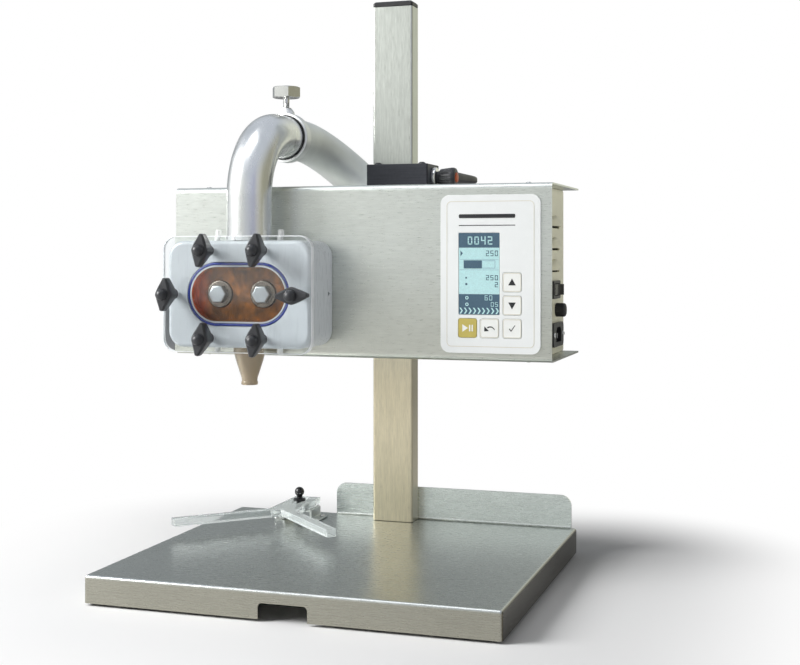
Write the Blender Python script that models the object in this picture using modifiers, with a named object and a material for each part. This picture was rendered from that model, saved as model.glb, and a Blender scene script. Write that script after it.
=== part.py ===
"""Bench-top honey filling machine: a gear pump on a head that slides on a column.

Metres, +Z up, +Y away from the operator. The origin is on the top face of the base
plate, straight below the nozzle, where the middle of a jar stands.
"""
import math

import bmesh
import bpy
from mathutils import Matrix, Vector

MM = 0.001
GAP = 0.3 * MM                      # clearance between pieces that rest on each other
MERGE = 0.01 * MM

# Stand
BASE_LEFT, BASE_RIGHT = -81 * MM, 265 * MM
BASE_FRONT, BASE_BACK = -142 * MM, 157 * MM
BASE_SHEET = 2 * MM
SKIRT = 22.5 * MM
BEND_RADIUS = 2.5 * MM
UPSTAND_LEFT, UPSTAND_RIGHT, UPSTAND_HEIGHT = 25 * MM, 260.5 * MM, 31 * MM
NOTCH_WIDTH, NOTCH_HEIGHT = 41 * MM, 12.6 * MM
FOOT_RADIUS, FOOT_INSET, FOOT_PROUD = 9 * MM, 18 * MM, 2 * MM
COLUMN_X, COLUMN_WIDTH, COLUMN_DEPTH = 90 * MM, 40 * MM, 20 * MM
COLUMN_Y = BASE_BACK - BASE_SHEET - GAP - COLUMN_DEPTH / 2
COLUMN_TOP, COLUMN_WALL, CAP_HEIGHT = 498 * MM, 2 * MM, 5 * MM

# Head housing
HEAD_LEFT, HEAD_RIGHT = -88 * MM, 267 * MM
HEAD_FRONT, HEAD_BACK = 30 * MM, 157 * MM
HEAD_BOTTOM, HEAD_TOP = 166 * MM, 320 * MM
HEAD_SHEET = 1.5 * MM
END_INSET = 14 * MM
LEFT_PANEL_X = HEAD_LEFT + END_INSET
RIGHT_PANEL_X = HEAD_RIGHT - END_INSET

# Pump
PUMP_Z = 223.5 * MM
ROTOR_SPACING = 41.5 * MM
BODY_WIDTH, BODY_HEIGHT, BODY_CORNER = 136 * MM, 94 * MM, 14 * MM
COVER_WIDTH, COVER_HEIGHT, COVER_FRONT = 142 * MM, 102.4 * MM, -28 * MM
BODY_FRONT, CHAMBER_BACK = -21.7 * MM, 14 * MM
CHAMBER_RADIUS = 24 * MM
ROTOR_TEETH, ROTOR_FRONT, ROTOR_BACK = 14, -12 * MM, 13.4 * MM
SHAFT_RADIUS, STUB_RADIUS = 6 * MM, 4 * MM
NUT_FLANGE_RADIUS, NUT_RADIUS = 12 * MM, 8.5 * MM
KNOB_X, KNOB_Z, SIDE_KNOB_X = 25.3 * MM, 38.4 * MM, 60 * MM
PLUG_X, PORT_Y = 30.3 * MM, 1 * MM
DRIVE_X, IDLER_X = ROTOR_SPACING / 2, -ROTOR_SPACING / 2
MOTOR_X = DRIVE_X + 40 * MM
GEAR_TEETH, PINION_TEETH = 36, 12
GEAR_MODULE = 2 * (MOTOR_X - DRIVE_X) / (GEAR_TEETH + PINION_TEETH)
GEAR_FRONT, GEAR_BACK = 58 * MM, 66 * MM

# Honey line
PIPE_RADIUS, PIPE_WALL = 20 * MM, 1.5 * MM
LINE_Z, ELBOW_RADIUS, JOINT_Y = 369 * MM, 60 * MM, 78 * MM
BEND_START, SUPPLY_RADIUS, SUPPLY_TILT = 121 * MM, 65 * MM, math.radians(45)
SUPPLY_TAIL, FERRULE_RADIUS = 85 * MM, 25.25 * MM
RING_INNER, RING_OUTER, RING_BACK = 20.4 * MM, 23.5 * MM, 91 * MM
CLAMP_SCREW_Y = 85 * MM

# Controls
PANEL_X, PANEL_Z, PANEL_WIDTH, PANEL_HEIGHT = 213.3 * MM, 241.5 * MM, 88.6 * MM, 137 * MM
PANEL_FRONT = HEAD_FRONT - 1.5 * MM
LCD_X, LCD_Z, LCD_WIDTH, LCD_HEIGHT = 203.5 * MM, 241.7 * MM, 36 * MM, 70.5 * MM
KEY_SIZE = 16.5 * MM
KEYS = {"key_start": (193.3 * MM, 194.7 * MM), "key_back": (212.8 * MM, 194.7 * MM),
        "key_confirm": (232.7 * MM, 194.7 * MM), "key_down": (232.7 * MM, 214.6 * MM),
        "key_up": (232.7 * MM, 234.5 * MM)}
ROCKER_Y, ROCKER_Z, ROCKER_TILT = 114 * MM, 226.2 * MM, math.radians(9)
FUSE_Y, FUSE_Z = 119 * MM, 207.5 * MM
INLET_Y, INLET_Z = 119 * MM, 185 * MM
LOUVRES_Z = (287 * MM, 267 * MM, 247 * MM)
LOUVRE_Y, LOUVRE_LENGTH = 114 * MM, 50 * MM

# Column clamp
BLOCK_LEFT, BLOCK_RIGHT = 67.7 * MM, 129 * MM
BLOCK_FRONT, BLOCK_BACK, BLOCK_HEIGHT = 122 * MM, 161.5 * MM, 24.5 * MM
STUD_Y, STUD_Z = 142 * MM, HEAD_TOP + 12 * MM

# Jar guide
GUIDE_RADIUS, GUIDE_ARM_WIDTH, GUIDE_TIP_X = 52 * MM, 10 * MM, 81 * MM
GUIDE_BOTTOM, GUIDE_TOP = 11 * MM, 18 * MM
GUIDE_FORWARD, GUIDE_RETURN = 16 * MM, 10 * MM
GUIDE_KNOB_Y, TONGUE_WIDTH = 118 * MM, 26 * MM


# ---------------------------------------------------------------- scene and materials

def make_collection(name):
    """Return a new collection linked to the scene."""
    collection = bpy.data.collections.new(name)
    bpy.context.scene.collection.children.link(collection)
    return collection


def clear_scene():
    """Remove every object and collection that the scene holds."""
    for item in list(bpy.data.objects):
        bpy.data.objects.remove(item, do_unlink=True)
    for collection in list(bpy.data.collections):
        bpy.data.collections.remove(collection)


def make_material(name, colour, roughness, metallic=0.0, transmission=0.0):
    """Return a Principled material."""
    material = bpy.data.materials.new(name)
    material.use_nodes = True
    shader = material.node_tree.nodes["Principled BSDF"]
    shader.inputs["Base Color"].default_value = (*colour, 1.0)
    shader.inputs["Roughness"].default_value = roughness
    shader.inputs["Metallic"].default_value = metallic
    shader.inputs["Transmission Weight"].default_value = transmission
    return material


clear_scene()
PARTS = make_collection("honey_filling_machine")
CUTTERS = make_collection("cutters")

BRUSHED = make_material("brushed_steel", (0.58, 0.60, 0.57), 0.34, 1.0)
SATIN = make_material("satin_steel", (0.36, 0.39, 0.38), 0.38, 1.0)
POLISHED = make_material("polished_steel", (0.66, 0.67, 0.68), 0.14, 1.0)
CREAM = make_material("cream_enamel", (0.62, 0.60, 0.46), 0.45)
MILKY = make_material("milky_plastic", (0.72, 0.76, 0.80), 0.35)
CLEAR = make_material("clear_acrylic", (0.90, 0.94, 0.95), 0.06, 0.0, 0.9)
AMBER = make_material("amber_polyurethane", (0.45, 0.17, 0.04), 0.30)
BLUE_RUBBER = make_material("blue_rubber", (0.05, 0.12, 0.42), 0.50)
BLACK_RUBBER = make_material("black_rubber", (0.02, 0.02, 0.02), 0.70)
BLACK_PLASTIC = make_material("black_plastic", (0.03, 0.03, 0.035), 0.35)
CHARCOAL = make_material("charcoal_anodised", (0.05, 0.055, 0.065), 0.45, 0.6)
ORANGE = make_material("orange_plastic", (0.65, 0.10, 0.03), 0.40)
WHITE_PLASTIC = make_material("white_plastic", (0.85, 0.85, 0.83), 0.35)
KEY_GOLD = make_material("gold_print", (0.60, 0.44, 0.16), 0.40)
LCD_GLASS = make_material("lcd_glass", (0.50, 0.75, 0.76), 0.12)
BOARD_GREEN = make_material("board_green", (0.03, 0.20, 0.08), 0.50)


# ---------------------------------------------------------------- modelling helpers

def add_object(name, mesh, material, location=(0, 0, 0), rotation=(0, 0, 0), hidden=False):
    """Link a mesh as a part, or as a hidden cutter or guide."""
    item = bpy.data.objects.new(name, mesh)
    item.location = location
    item.rotation_euler = rotation
    if hidden:
        CUTTERS.objects.link(item)
        item.hide_render = True
        item.display_type = "WIRE"
    else:
        PARTS.objects.link(item)
        mesh.materials.append(material)
    return item


def shade(mesh, angle=35):
    """Shade smooth, except across edges sharper than the angle in degrees."""
    mesh.shade_smooth()
    mesh.set_sharp_from_angle(angle=math.radians(angle))


def mesh_from(work, name):
    """Turn a bmesh into a shaded mesh."""
    mesh = bpy.data.meshes.new(name)
    work.to_mesh(mesh)
    work.free()
    shade(mesh)
    return mesh


def box(name, low, high, material=None, pivot=None, hidden=False):
    """A box between two corners, with its origin at the pivot."""
    low, high = Vector(low), Vector(high)
    centre = (low + high) / 2
    pivot = Vector(pivot) if pivot else centre
    work = bmesh.new()
    bmesh.ops.create_cube(work, size=1.0)
    bmesh.ops.scale(work, vec=high - low, verts=work.verts)
    bmesh.ops.translate(work, vec=centre - pivot, verts=work.verts)
    return add_object(name, mesh_from(work, name), material, pivot, hidden=hidden)


def rod(name, start, end, radius, material=None, end_radius=None, segments=24, hidden=False):
    """A cylinder or cone between two points, with its origin at the start."""
    start, end = Vector(start), Vector(end)
    span = end - start
    work = bmesh.new()
    bmesh.ops.create_cone(work, cap_ends=True, segments=segments, radius1=radius,
                          radius2=radius if end_radius is None else end_radius,
                          depth=span.length)
    bmesh.ops.translate(work, vec=(0, 0, span.length / 2), verts=work.verts)
    item = add_object(name, mesh_from(work, name), material, start, hidden=hidden)
    item.rotation_euler = span.to_track_quat("Z", "Y").to_euler()
    return item


def evaluated_mesh(item):
    """Return the mesh that an object's modifiers give."""
    bpy.context.view_layer.update()
    graph = bpy.context.evaluated_depsgraph_get()
    return bpy.data.meshes.new_from_object(item.evaluated_get(graph))


def curve_to_part(curve, name, material, location, rotation, hidden=False):
    """Turn a curve into a closed mesh part with welded caps."""
    source = bpy.data.objects.new(name + "_curve", curve)
    source.location = location
    source.rotation_euler = rotation
    CUTTERS.objects.link(source)
    mesh = evaluated_mesh(source)
    mesh.materials.clear()
    mesh.name = name
    place = source.matrix_world.copy()
    bpy.data.objects.remove(source, do_unlink=True)
    work = bmesh.new()
    work.from_mesh(mesh)
    bmesh.ops.remove_doubles(work, verts=work.verts, dist=MERGE)
    bmesh.ops.recalc_face_normals(work, faces=work.faces)
    work.to_mesh(mesh)
    work.free()
    shade(mesh)
    item = add_object(name, mesh, material, hidden=hidden)
    item.matrix_world = place
    return item


PLANES = {"XY": (0, 0, 0), "XZ": (math.pi / 2, 0, 0), "YZ": (math.pi / 2, 0, math.pi / 2)}


def plate(name, plane, at, outlines, thickness, material=None, hidden=False):
    """A flat plate centred on the point, cut from outlines (the first is the outer one)."""
    curve = bpy.data.curves.new(name, "CURVE")
    curve.dimensions = "2D"
    curve.fill_mode = "BOTH"
    curve.extrude = thickness / 2
    for points in outlines:
        spline = curve.splines.new("POLY")
        spline.points.add(len(points) - 1)
        for slot, (x, y) in zip(spline.points, points):
            slot.co = (x, y, 0, 1)
        spline.use_cyclic_u = True
    return curve_to_part(curve, name, material, at, PLANES[plane], hidden)


def turned(name, at, axis, profile, material=None, steps=24, hidden=False, ring=False):
    """A turned piece: (radius, height) points down the outer side, then up the inner side."""
    work = bmesh.new()
    rows = [work.verts.new((radius, 0, height)) for radius, height in profile]
    for first, second in zip(rows, rows[1:]):
        work.edges.new((first, second))
    if ring:
        work.edges.new((rows[-1], rows[0]))
    mesh = mesh_from(work, name)
    item = add_object(name, mesh, material, at, hidden=hidden)
    item.rotation_euler = Vector(axis).to_track_quat("Z", "Y").to_euler()
    screw = item.modifiers.new("turn", "SCREW")
    screw.axis = "Z"
    screw.steps = screw.render_steps = steps
    screw.use_merge_vertices = True
    screw.merge_threshold = MERGE
    screw.use_smooth_shade = True
    return item


def wire(name, points, radius, material=None, cyclic=False, detail=2, hidden=False):
    """A round bar or tube along points."""
    curve = bpy.data.curves.new(name, "CURVE")
    curve.dimensions = "3D"
    curve.bevel_depth = radius
    curve.bevel_resolution = detail
    curve.use_fill_caps = True
    spline = curve.splines.new("POLY")
    spline.points.add(len(points) - 1)
    for slot, point in zip(spline.points, points):
        slot.co = (*point, 1)
    spline.use_cyclic_u = cyclic
    return curve_to_part(curve, name, material, (0, 0, 0), (0, 0, 0), hidden)


def bevel(item, width, segments=2, angle=30):
    """Round the sharp edges."""
    modifier = item.modifiers.new("bevel", "BEVEL")
    modifier.width = width
    modifier.segments = segments
    modifier.limit_method = "ANGLE"
    modifier.angle_limit = math.radians(angle)
    return item


def boolean(item, other, operation):
    """Add a Boolean with the exact solver."""
    modifier = item.modifiers.new(operation.lower(), "BOOLEAN")
    modifier.operation = operation
    modifier.object = other
    modifier.solver = "EXACT"
    return item


def cut(item, *cutters):
    """Cut each cutter out of the item."""
    for cutter in cutters:
        boolean(item, cutter, "DIFFERENCE")
    return item


def join(item, *others):
    """Fuse each hidden solid to the item."""
    for other in others:
        boolean(item, other, "UNION")
    return item


def apply_modifiers(item):
    """Replace the item's mesh by what its modifiers give."""
    mesh = evaluated_mesh(item)
    item.modifiers.clear()
    item.data = mesh
    shade(mesh)
    return item


def group(name, at, children, parent=None):
    """An empty on a joint's axis that carries the pieces which move together."""
    empty = bpy.data.objects.new(name, None)
    empty.location = at
    empty.empty_display_size = 10 * MM
    PARTS.objects.link(empty)
    if parent:
        attach(empty, parent)
    for child in children:
        attach(child, empty)
    return empty


def attach(child, parent):
    """Parent without moving the child."""
    bpy.context.view_layer.update()
    child.parent = parent
    child.matrix_parent_inverse = parent.matrix_world.inverted()


# ---------------------------------------------------------------- outlines

def arc(centre, radius, start, end, steps):
    """Points on an arc, angles in degrees."""
    angles = [math.radians(start + (end - start) * i / steps) for i in range(steps + 1)]
    return [(centre[0] + radius * math.cos(a), centre[1] + radius * math.sin(a)) for a in angles]


def rounded(width, height, radius, steps=4, centre=(0, 0)):
    """A rectangle with rounded corners."""
    x, y = width / 2 - radius, height / 2 - radius
    points = []
    for sx, sy, start in ((1, 1, 0), (-1, 1, 90), (-1, -1, 180), (1, -1, 270)):
        corner = (centre[0] + sx * x, centre[1] + sy * y)
        points += arc(corner, radius, start, start + 90, steps)
    return points


def circle(radius, steps=24, centre=(0, 0)):
    """A round hole or disc."""
    return arc(centre, radius, 0, 360 - 360 / steps, steps - 1)


def stadium(spacing, radius, steps=12):
    """Two half circles about points that lie the spacing apart, joined by straight lines."""
    right = arc((spacing / 2, 0), radius, -90, 90, steps)
    left = arc((-spacing / 2, 0), radius, 90, 270, steps)
    return right + left


def gear_outline(teeth, module, pressure=25.0, backlash=0.0, flank_steps=3, turn=0.0):
    """Involute gear outline. The backlash is taken off each tooth's width."""
    pitch = teeth * module / 2
    base = pitch * math.cos(math.radians(pressure))
    tip, root = pitch + module, pitch - 1.2 * module

    def involute(radius):
        slope = math.acos(min(1.0, base / radius))
        return math.tan(slope) - slope

    half_pitch = math.pi / (2 * teeth) - backlash / (2 * pitch)
    start = max(base, root)
    radii = [start + (tip - start) * i / flank_steps for i in range(flank_steps + 1)]
    flank = [(root, half_pitch + involute(pitch) - involute(start))] if root < base else []
    flank += [(r, half_pitch + involute(pitch) - involute(r)) for r in radii]
    points = []
    for tooth in range(teeth):
        middle = 2 * math.pi * tooth / teeth + math.radians(turn)
        rising = [(r, middle - half) for r, half in flank]
        falling = [(r, middle + half) for r, half in reversed(flank)]
        points += [(r * math.cos(a), r * math.sin(a)) for r, a in rising + falling]
    return points


# ---------------------------------------------------------------- stand

def make_base_plate():
    """Folded tray with skirts on three sides, a rear upstand and a notch in front."""
    work = bmesh.new()
    bmesh.ops.create_cube(work, size=1.0)
    size = (BASE_RIGHT - BASE_LEFT, BASE_BACK - BASE_FRONT, SKIRT)
    bmesh.ops.scale(work, vec=size, verts=work.verts)
    centre = ((BASE_LEFT + BASE_RIGHT) / 2, (BASE_FRONT + BASE_BACK) / 2, -SKIRT / 2)
    bmesh.ops.translate(work, vec=centre, verts=work.verts)
    open_sides = [face for face in work.faces if face.normal.z < -0.5 or face.normal.y > 0.5]
    bmesh.ops.delete(work, geom=open_sides, context="FACES")
    folds = [edge for edge in work.edges if len(edge.link_faces) == 2]
    bmesh.ops.bevel(work, geom=folds, offset=BEND_RADIUS, segments=3, profile=0.5,
                    affect="EDGES")
    tray = add_object("base_plate", mesh_from(work, "base_plate"), SATIN)
    solidify = tray.modifiers.new("sheet", "SOLIDIFY")
    solidify.thickness = BASE_SHEET
    solidify.offset = -1
    solidify.use_even_offset = True

    width = UPSTAND_RIGHT - UPSTAND_LEFT
    outline = [(-width / 2, -1.2 * MM), (width / 2, -1.2 * MM)]
    outline += arc((width / 2 - 10 * MM, UPSTAND_HEIGHT - 10 * MM), 10 * MM, 0, 90, 6)
    outline += arc((10 * MM - width / 2, UPSTAND_HEIGHT - 10 * MM), 10 * MM, 90, 180, 6)
    at = (UPSTAND_LEFT + width / 2, BASE_BACK - BASE_SHEET / 2, 0)
    upstand = plate("upstand_shape", "XZ", at, [outline], BASE_SHEET, hidden=True)
    join(tray, upstand)

    middle = (BASE_LEFT + BASE_RIGHT) / 2
    notch = plate("notch_cutter", "XZ", (middle, BASE_FRONT, -SKIRT),
                  [rounded(NOTCH_WIDTH, 2 * NOTCH_HEIGHT, 3.5 * MM)], 12 * MM, hidden=True)
    cut(tray, notch)


def make_feet():
    """Four rubber feet inside the corners of the tray."""
    top, bottom = -BASE_SHEET - GAP, -SKIRT - FOOT_PROUD
    profile = [(0, top), (FOOT_RADIUS - 1.5 * MM, top), (FOOT_RADIUS, bottom + 1.5 * MM),
               (FOOT_RADIUS - 1.5 * MM, bottom), (0, bottom)]
    for side, x in (("left", BASE_LEFT + FOOT_INSET), ("right", BASE_RIGHT - FOOT_INSET)):
        for end, y in (("front", BASE_FRONT + FOOT_INSET), ("rear", BASE_BACK - FOOT_INSET)):
            name = f"foot_{end}_{side}"
            turned(name, (x, y, 0), (0, 0, 1), profile, BLACK_RUBBER, 20)


def make_column():
    """Rectangular tube with a plastic cap."""
    inner_width, inner_depth = COLUMN_WIDTH - 2 * COLUMN_WALL, COLUMN_DEPTH - 2 * COLUMN_WALL
    height = COLUMN_TOP - GAP
    outlines = [rounded(COLUMN_WIDTH, COLUMN_DEPTH, 1.5 * MM, 2),
                rounded(inner_width, inner_depth, 0.6 * MM, 2)]
    middle = (COLUMN_X, COLUMN_Y, GAP + height / 2)
    plate("column", "XY", middle, outlines, height, BRUSHED)

    plug = (COLUMN_X, COLUMN_Y, COLUMN_TOP - 5 * MM)
    cap = plate("column_cap", "XY", (COLUMN_X, COLUMN_Y, COLUMN_TOP + GAP + CAP_HEIGHT / 2),
                [rounded(COLUMN_WIDTH, COLUMN_DEPTH, 1.5 * MM, 2)], CAP_HEIGHT, BLACK_PLASTIC)
    bevel(cap, 0.8 * MM, 1, 50)
    plug_size = (inner_width - 2 * GAP, inner_depth - 2 * GAP)
    join(cap, plate("cap_plug", "XY", plug, [rounded(*plug_size, 1 * MM, 2)], 13 * MM,
                    hidden=True))


def make_jar_guide():
    """Clear V plate with a slotted tongue, its steel bracket and the clamping knob."""
    diagonal = math.sqrt(2)                        # the arms stand at 45 degrees
    inner, outer = GUIDE_RADIUS * diagonal, (GUIDE_RADIUS + GUIDE_ARM_WIDTH) * diagonal
    step = GUIDE_ARM_WIDTH / diagonal
    half, slot_radius = TONGUE_WIDTH / 2, 3.5 * MM
    slot_front = GUIDE_KNOB_Y - GUIDE_RETURN
    slot_back = GUIDE_KNOB_Y + GUIDE_FORWARD
    tongue_back = slot_back + slot_radius + 4 * MM
    right = [(GUIDE_TIP_X - step, inner - GUIDE_TIP_X + step),
             (GUIDE_TIP_X, outer - GUIDE_TIP_X), (half, outer - half), (half, tongue_back)]
    outline = [(0, inner)] + right + [(-x, y) for x, y in reversed(right)]
    slot = arc((0, slot_back), slot_radius, 0, 180, 8)
    slot += arc((0, slot_front), slot_radius, 180, 360, 8)
    guide = plate("jar_guide", "XY", (0, 0, (GUIDE_TOP + GUIDE_BOTTOM) / 2), [outline, slot],
                  GUIDE_TOP - GUIDE_BOTTOM, CLEAR)

    sheet, lip, leg = 2 * MM, 8 * MM, 15 * MM
    top = GUIDE_BOTTOM - GAP
    profile = [(-leg - lip, GAP), (-leg + sheet, GAP), (-leg + sheet, top - sheet),
               (leg - sheet, top - sheet), (leg - sheet, GAP), (leg + lip, GAP),
               (leg + lip, GAP + sheet), (leg, GAP + sheet), (leg, top), (-leg, top),
               (-leg, GAP + sheet), (-leg - lip, GAP + sheet)]
    bracket = plate("jar_guide_bracket", "XZ", (0, GUIDE_KNOB_Y + 6 * MM, 0), [profile], 24 * MM, SATIN)
    cut(bracket, rod("bracket_hole", (0, GUIDE_KNOB_Y, top - 2 * sheet),
                     (0, GUIDE_KNOB_Y, top + sheet), 3.3 * MM, segments=16, hidden=True))

    stem, ball, collar = 3 * MM, 4.6 * MM, 6 * MM
    foot, face = top - 2 * sheet - 2 * MM, GUIDE_TOP + GAP
    centre = face + 8.5 * MM
    profile = [(0, centre + ball)]
    profile += [(ball * math.cos(math.radians(a)), centre + ball * math.sin(math.radians(a)))
                for a in (60, 30, 0, -30, -50)]
    profile += [(stem, face + 3.5 * MM), (collar, face + 2 * MM), (collar, face),
                (stem, face), (stem, foot), (0, foot)]
    knob = turned("jar_guide_knob", (0, GUIDE_KNOB_Y, 0), (0, 0, 1), profile, BLACK_PLASTIC, 16)
    return [guide, bracket, knob]


# ---------------------------------------------------------------- head housing

def make_housing_cover():
    """C channel: front panel with top and bottom flanges, notched around the column."""
    work = bmesh.new()
    bmesh.ops.create_cube(work, size=1.0)
    size = (HEAD_RIGHT - HEAD_LEFT, HEAD_BACK - HEAD_FRONT, HEAD_TOP - HEAD_BOTTOM)
    bmesh.ops.scale(work, vec=size, verts=work.verts)
    centre = ((HEAD_LEFT + HEAD_RIGHT) / 2, (HEAD_FRONT + HEAD_BACK) / 2,
              (HEAD_BOTTOM + HEAD_TOP) / 2)
    bmesh.ops.translate(work, vec=centre, verts=work.verts)
    open_sides = [face for face in work.faces if abs(face.normal.x) > 0.5 or face.normal.y > 0.5]
    bmesh.ops.delete(work, geom=open_sides, context="FACES")
    folds = [edge for edge in work.edges if len(edge.link_faces) == 2]
    bmesh.ops.bevel(work, geom=folds, offset=3 * MM, segments=4, profile=0.5, affect="EDGES")
    cover = add_object("housing_cover", mesh_from(work, "housing_cover"), BRUSHED)
    solidify = cover.modifiers.new("sheet", "SOLIDIFY")
    solidify.thickness = HEAD_SHEET
    solidify.offset = -1
    solidify.use_even_offset = True
    clear = 1 * MM
    notch = box("column_notch", (COLUMN_X - COLUMN_WIDTH / 2 - clear, COLUMN_Y - 11 * MM, 0.1),
                (COLUMN_X + COLUMN_WIDTH / 2 + clear, HEAD_BACK + 5 * MM, 0.4), hidden=True)
    shaft = rod("shaft_hole", (DRIVE_X, HEAD_FRONT - 5 * MM, PUMP_Z),
                (DRIVE_X, HEAD_FRONT + 5 * MM, PUMP_Z), 10 * MM, segments=24, hidden=True)
    cut(cover, notch, shaft)
    return [cover]


def make_end_panels():
    """Left panel, louvred right panel and rear panel."""
    inside = HEAD_SHEET + GAP
    front, back = HEAD_FRONT + inside, HEAD_BACK - HEAD_SHEET - GAP
    depth, height = back - front, HEAD_TOP - HEAD_BOTTOM - 2 * inside
    mid_y, mid_z = (front + back) / 2, (HEAD_TOP + HEAD_BOTTOM) / 2
    outline = rounded(depth, height, 1.7 * MM, 2)
    left = plate("left_end_panel", "YZ", (LEFT_PANEL_X + HEAD_SHEET / 2, mid_y, mid_z),
                 [outline], HEAD_SHEET, CREAM)

    def hole(width, tall, radius, y, z):
        return rounded(width, tall, radius, 3, (y - mid_y, z - mid_z))

    holes = [hole(LOUVRE_LENGTH - 6 * MM, 3 * MM, 1.2 * MM, LOUVRE_Y, z) for z in LOUVRES_Z]
    holes += [hole(28 * MM, 12.6 * MM, 1 * MM, ROCKER_Y, ROCKER_Z),
              hole(28 * MM, 17.6 * MM, 2 * MM, INLET_Y, INLET_Z),
              circle(5.3 * MM, 20, (FUSE_Y - mid_y, FUSE_Z - mid_z))]
    right = plate("right_end_panel", "YZ", (RIGHT_PANEL_X - HEAD_SHEET / 2, mid_y, mid_z),
                  [outline] + holes, HEAD_SHEET, CREAM)
    for number, z in enumerate(LOUVRES_Z):
        join(right, make_louvre_hood(f"louvre_{number}", z))

    width = RIGHT_PANEL_X - LEFT_PANEL_X - 2 * GAP
    rear = plate("rear_panel", "XZ", ((RIGHT_PANEL_X + LEFT_PANEL_X) / 2,
                                      HEAD_BACK - HEAD_SHEET / 2, mid_z),
                 [rounded(width, height, 1 * MM, 2)], HEAD_SHEET, BRUSHED)
    return [left, right, rear]


def make_louvre_hood(name, z):
    """Pressed hood above a vent slit, open underneath."""
    rise, tall, sheet = 4 * MM, 9 * MM, 1 * MM
    face = RIGHT_PANEL_X - 0.2 * MM
    outer = arc((0, -tall), tall, 90, 0, 5)
    outer = [(x * rise / tall, y) for x, y in outer]
    inner = [(x - sheet, y - sheet) for x, y in reversed(outer) if x > sheet]
    inner[0] = (rise - sheet, -tall)
    section = [(0, 0)] + outer[1:] + inner + [(0, outer[1][1] - 1.5 * sheet)]
    hood = plate(name, "XZ", (face, LOUVRE_Y, z + tall - 2.5 * MM), [section], LOUVRE_LENGTH,
                 hidden=True)
    return hood


def make_clamp():
    """Clamp block on the column, its stud, indexed lever and push button."""
    left, right = BLOCK_LEFT, BLOCK_RIGHT
    bottom = HEAD_TOP + GAP
    centre = ((left + right) / 2, (BLOCK_FRONT + BLOCK_BACK) / 2)
    hole_centre = (COLUMN_X - centre[0], COLUMN_Y - centre[1])
    hole = rounded(COLUMN_WIDTH + 2 * GAP, COLUMN_DEPTH + 2 * GAP, 1 * MM, 2, hole_centre)
    outer = rounded(right - left, BLOCK_BACK - BLOCK_FRONT, 1.5 * MM, 2)
    block = plate("clamp_block", "XY", (*centre, bottom + BLOCK_HEIGHT / 2), [outer, hole],
                  BLOCK_HEIGHT, CHARCOAL)
    cut(block, rod("stud_hole", (COLUMN_X, STUD_Y, STUD_Z),
                   (right + 5 * MM, STUD_Y, STUD_Z), 4.3 * MM, hidden=True))

    at = (right, STUD_Y, STUD_Z)
    reach = right - COLUMN_X - COLUMN_WIDTH / 2 - GAP
    profile = [(0, 12 * MM), (3 * MM, 12 * MM), (3 * MM, 4.2 * MM), (10 * MM, 4.2 * MM),
               (10 * MM, GAP), (4 * MM, GAP), (4 * MM, -reach), (0, -reach)]
    stud = turned("clamp_stud", at, (1, 0, 0), profile, POLISHED, 20)

    profile = [(0, 23 * MM), (8.5 * MM, 23 * MM), (9.5 * MM, 21 * MM), (9.5 * MM, 12 * MM),
               (6.5 * MM, 4.5 * MM), (0, 4.5 * MM)]
    lever = turned("clamp_lever", at, (1, 0, 0), profile, BLACK_PLASTIC, 20)
    start = Vector(at) + Vector((17 * MM, 2 * MM, 0))
    tip = start + Vector((10 * MM, 52 * MM, 0))
    join(lever, rod("lever_arm", start, tip, 6.5 * MM, end_radius=4 * MM, segments=14, hidden=True))
    stem_bore = rod("lever_bore", Vector(at), Vector(at) + Vector((12.5 * MM, 0, 0)), 3.3 * MM,
                    hidden=True)
    button_bore = rod("button_bore", Vector(at) + Vector((17 * MM, 0, 0)),
                      Vector(at) + Vector((30 * MM, 0, 0)), 5.3 * MM, hidden=True)
    cut(lever, stem_bore, button_bore)

    profile = [(0, 24.5 * MM), (4 * MM, 24.5 * MM), (5 * MM, 23.8 * MM), (5 * MM, 19.6 * MM),
               (0, 19.6 * MM)]
    button = turned("lever_button", at, (1, 0, 0), profile, ORANGE, 24)
    return [block, stud, lever, button]


# ---------------------------------------------------------------- controls

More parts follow.
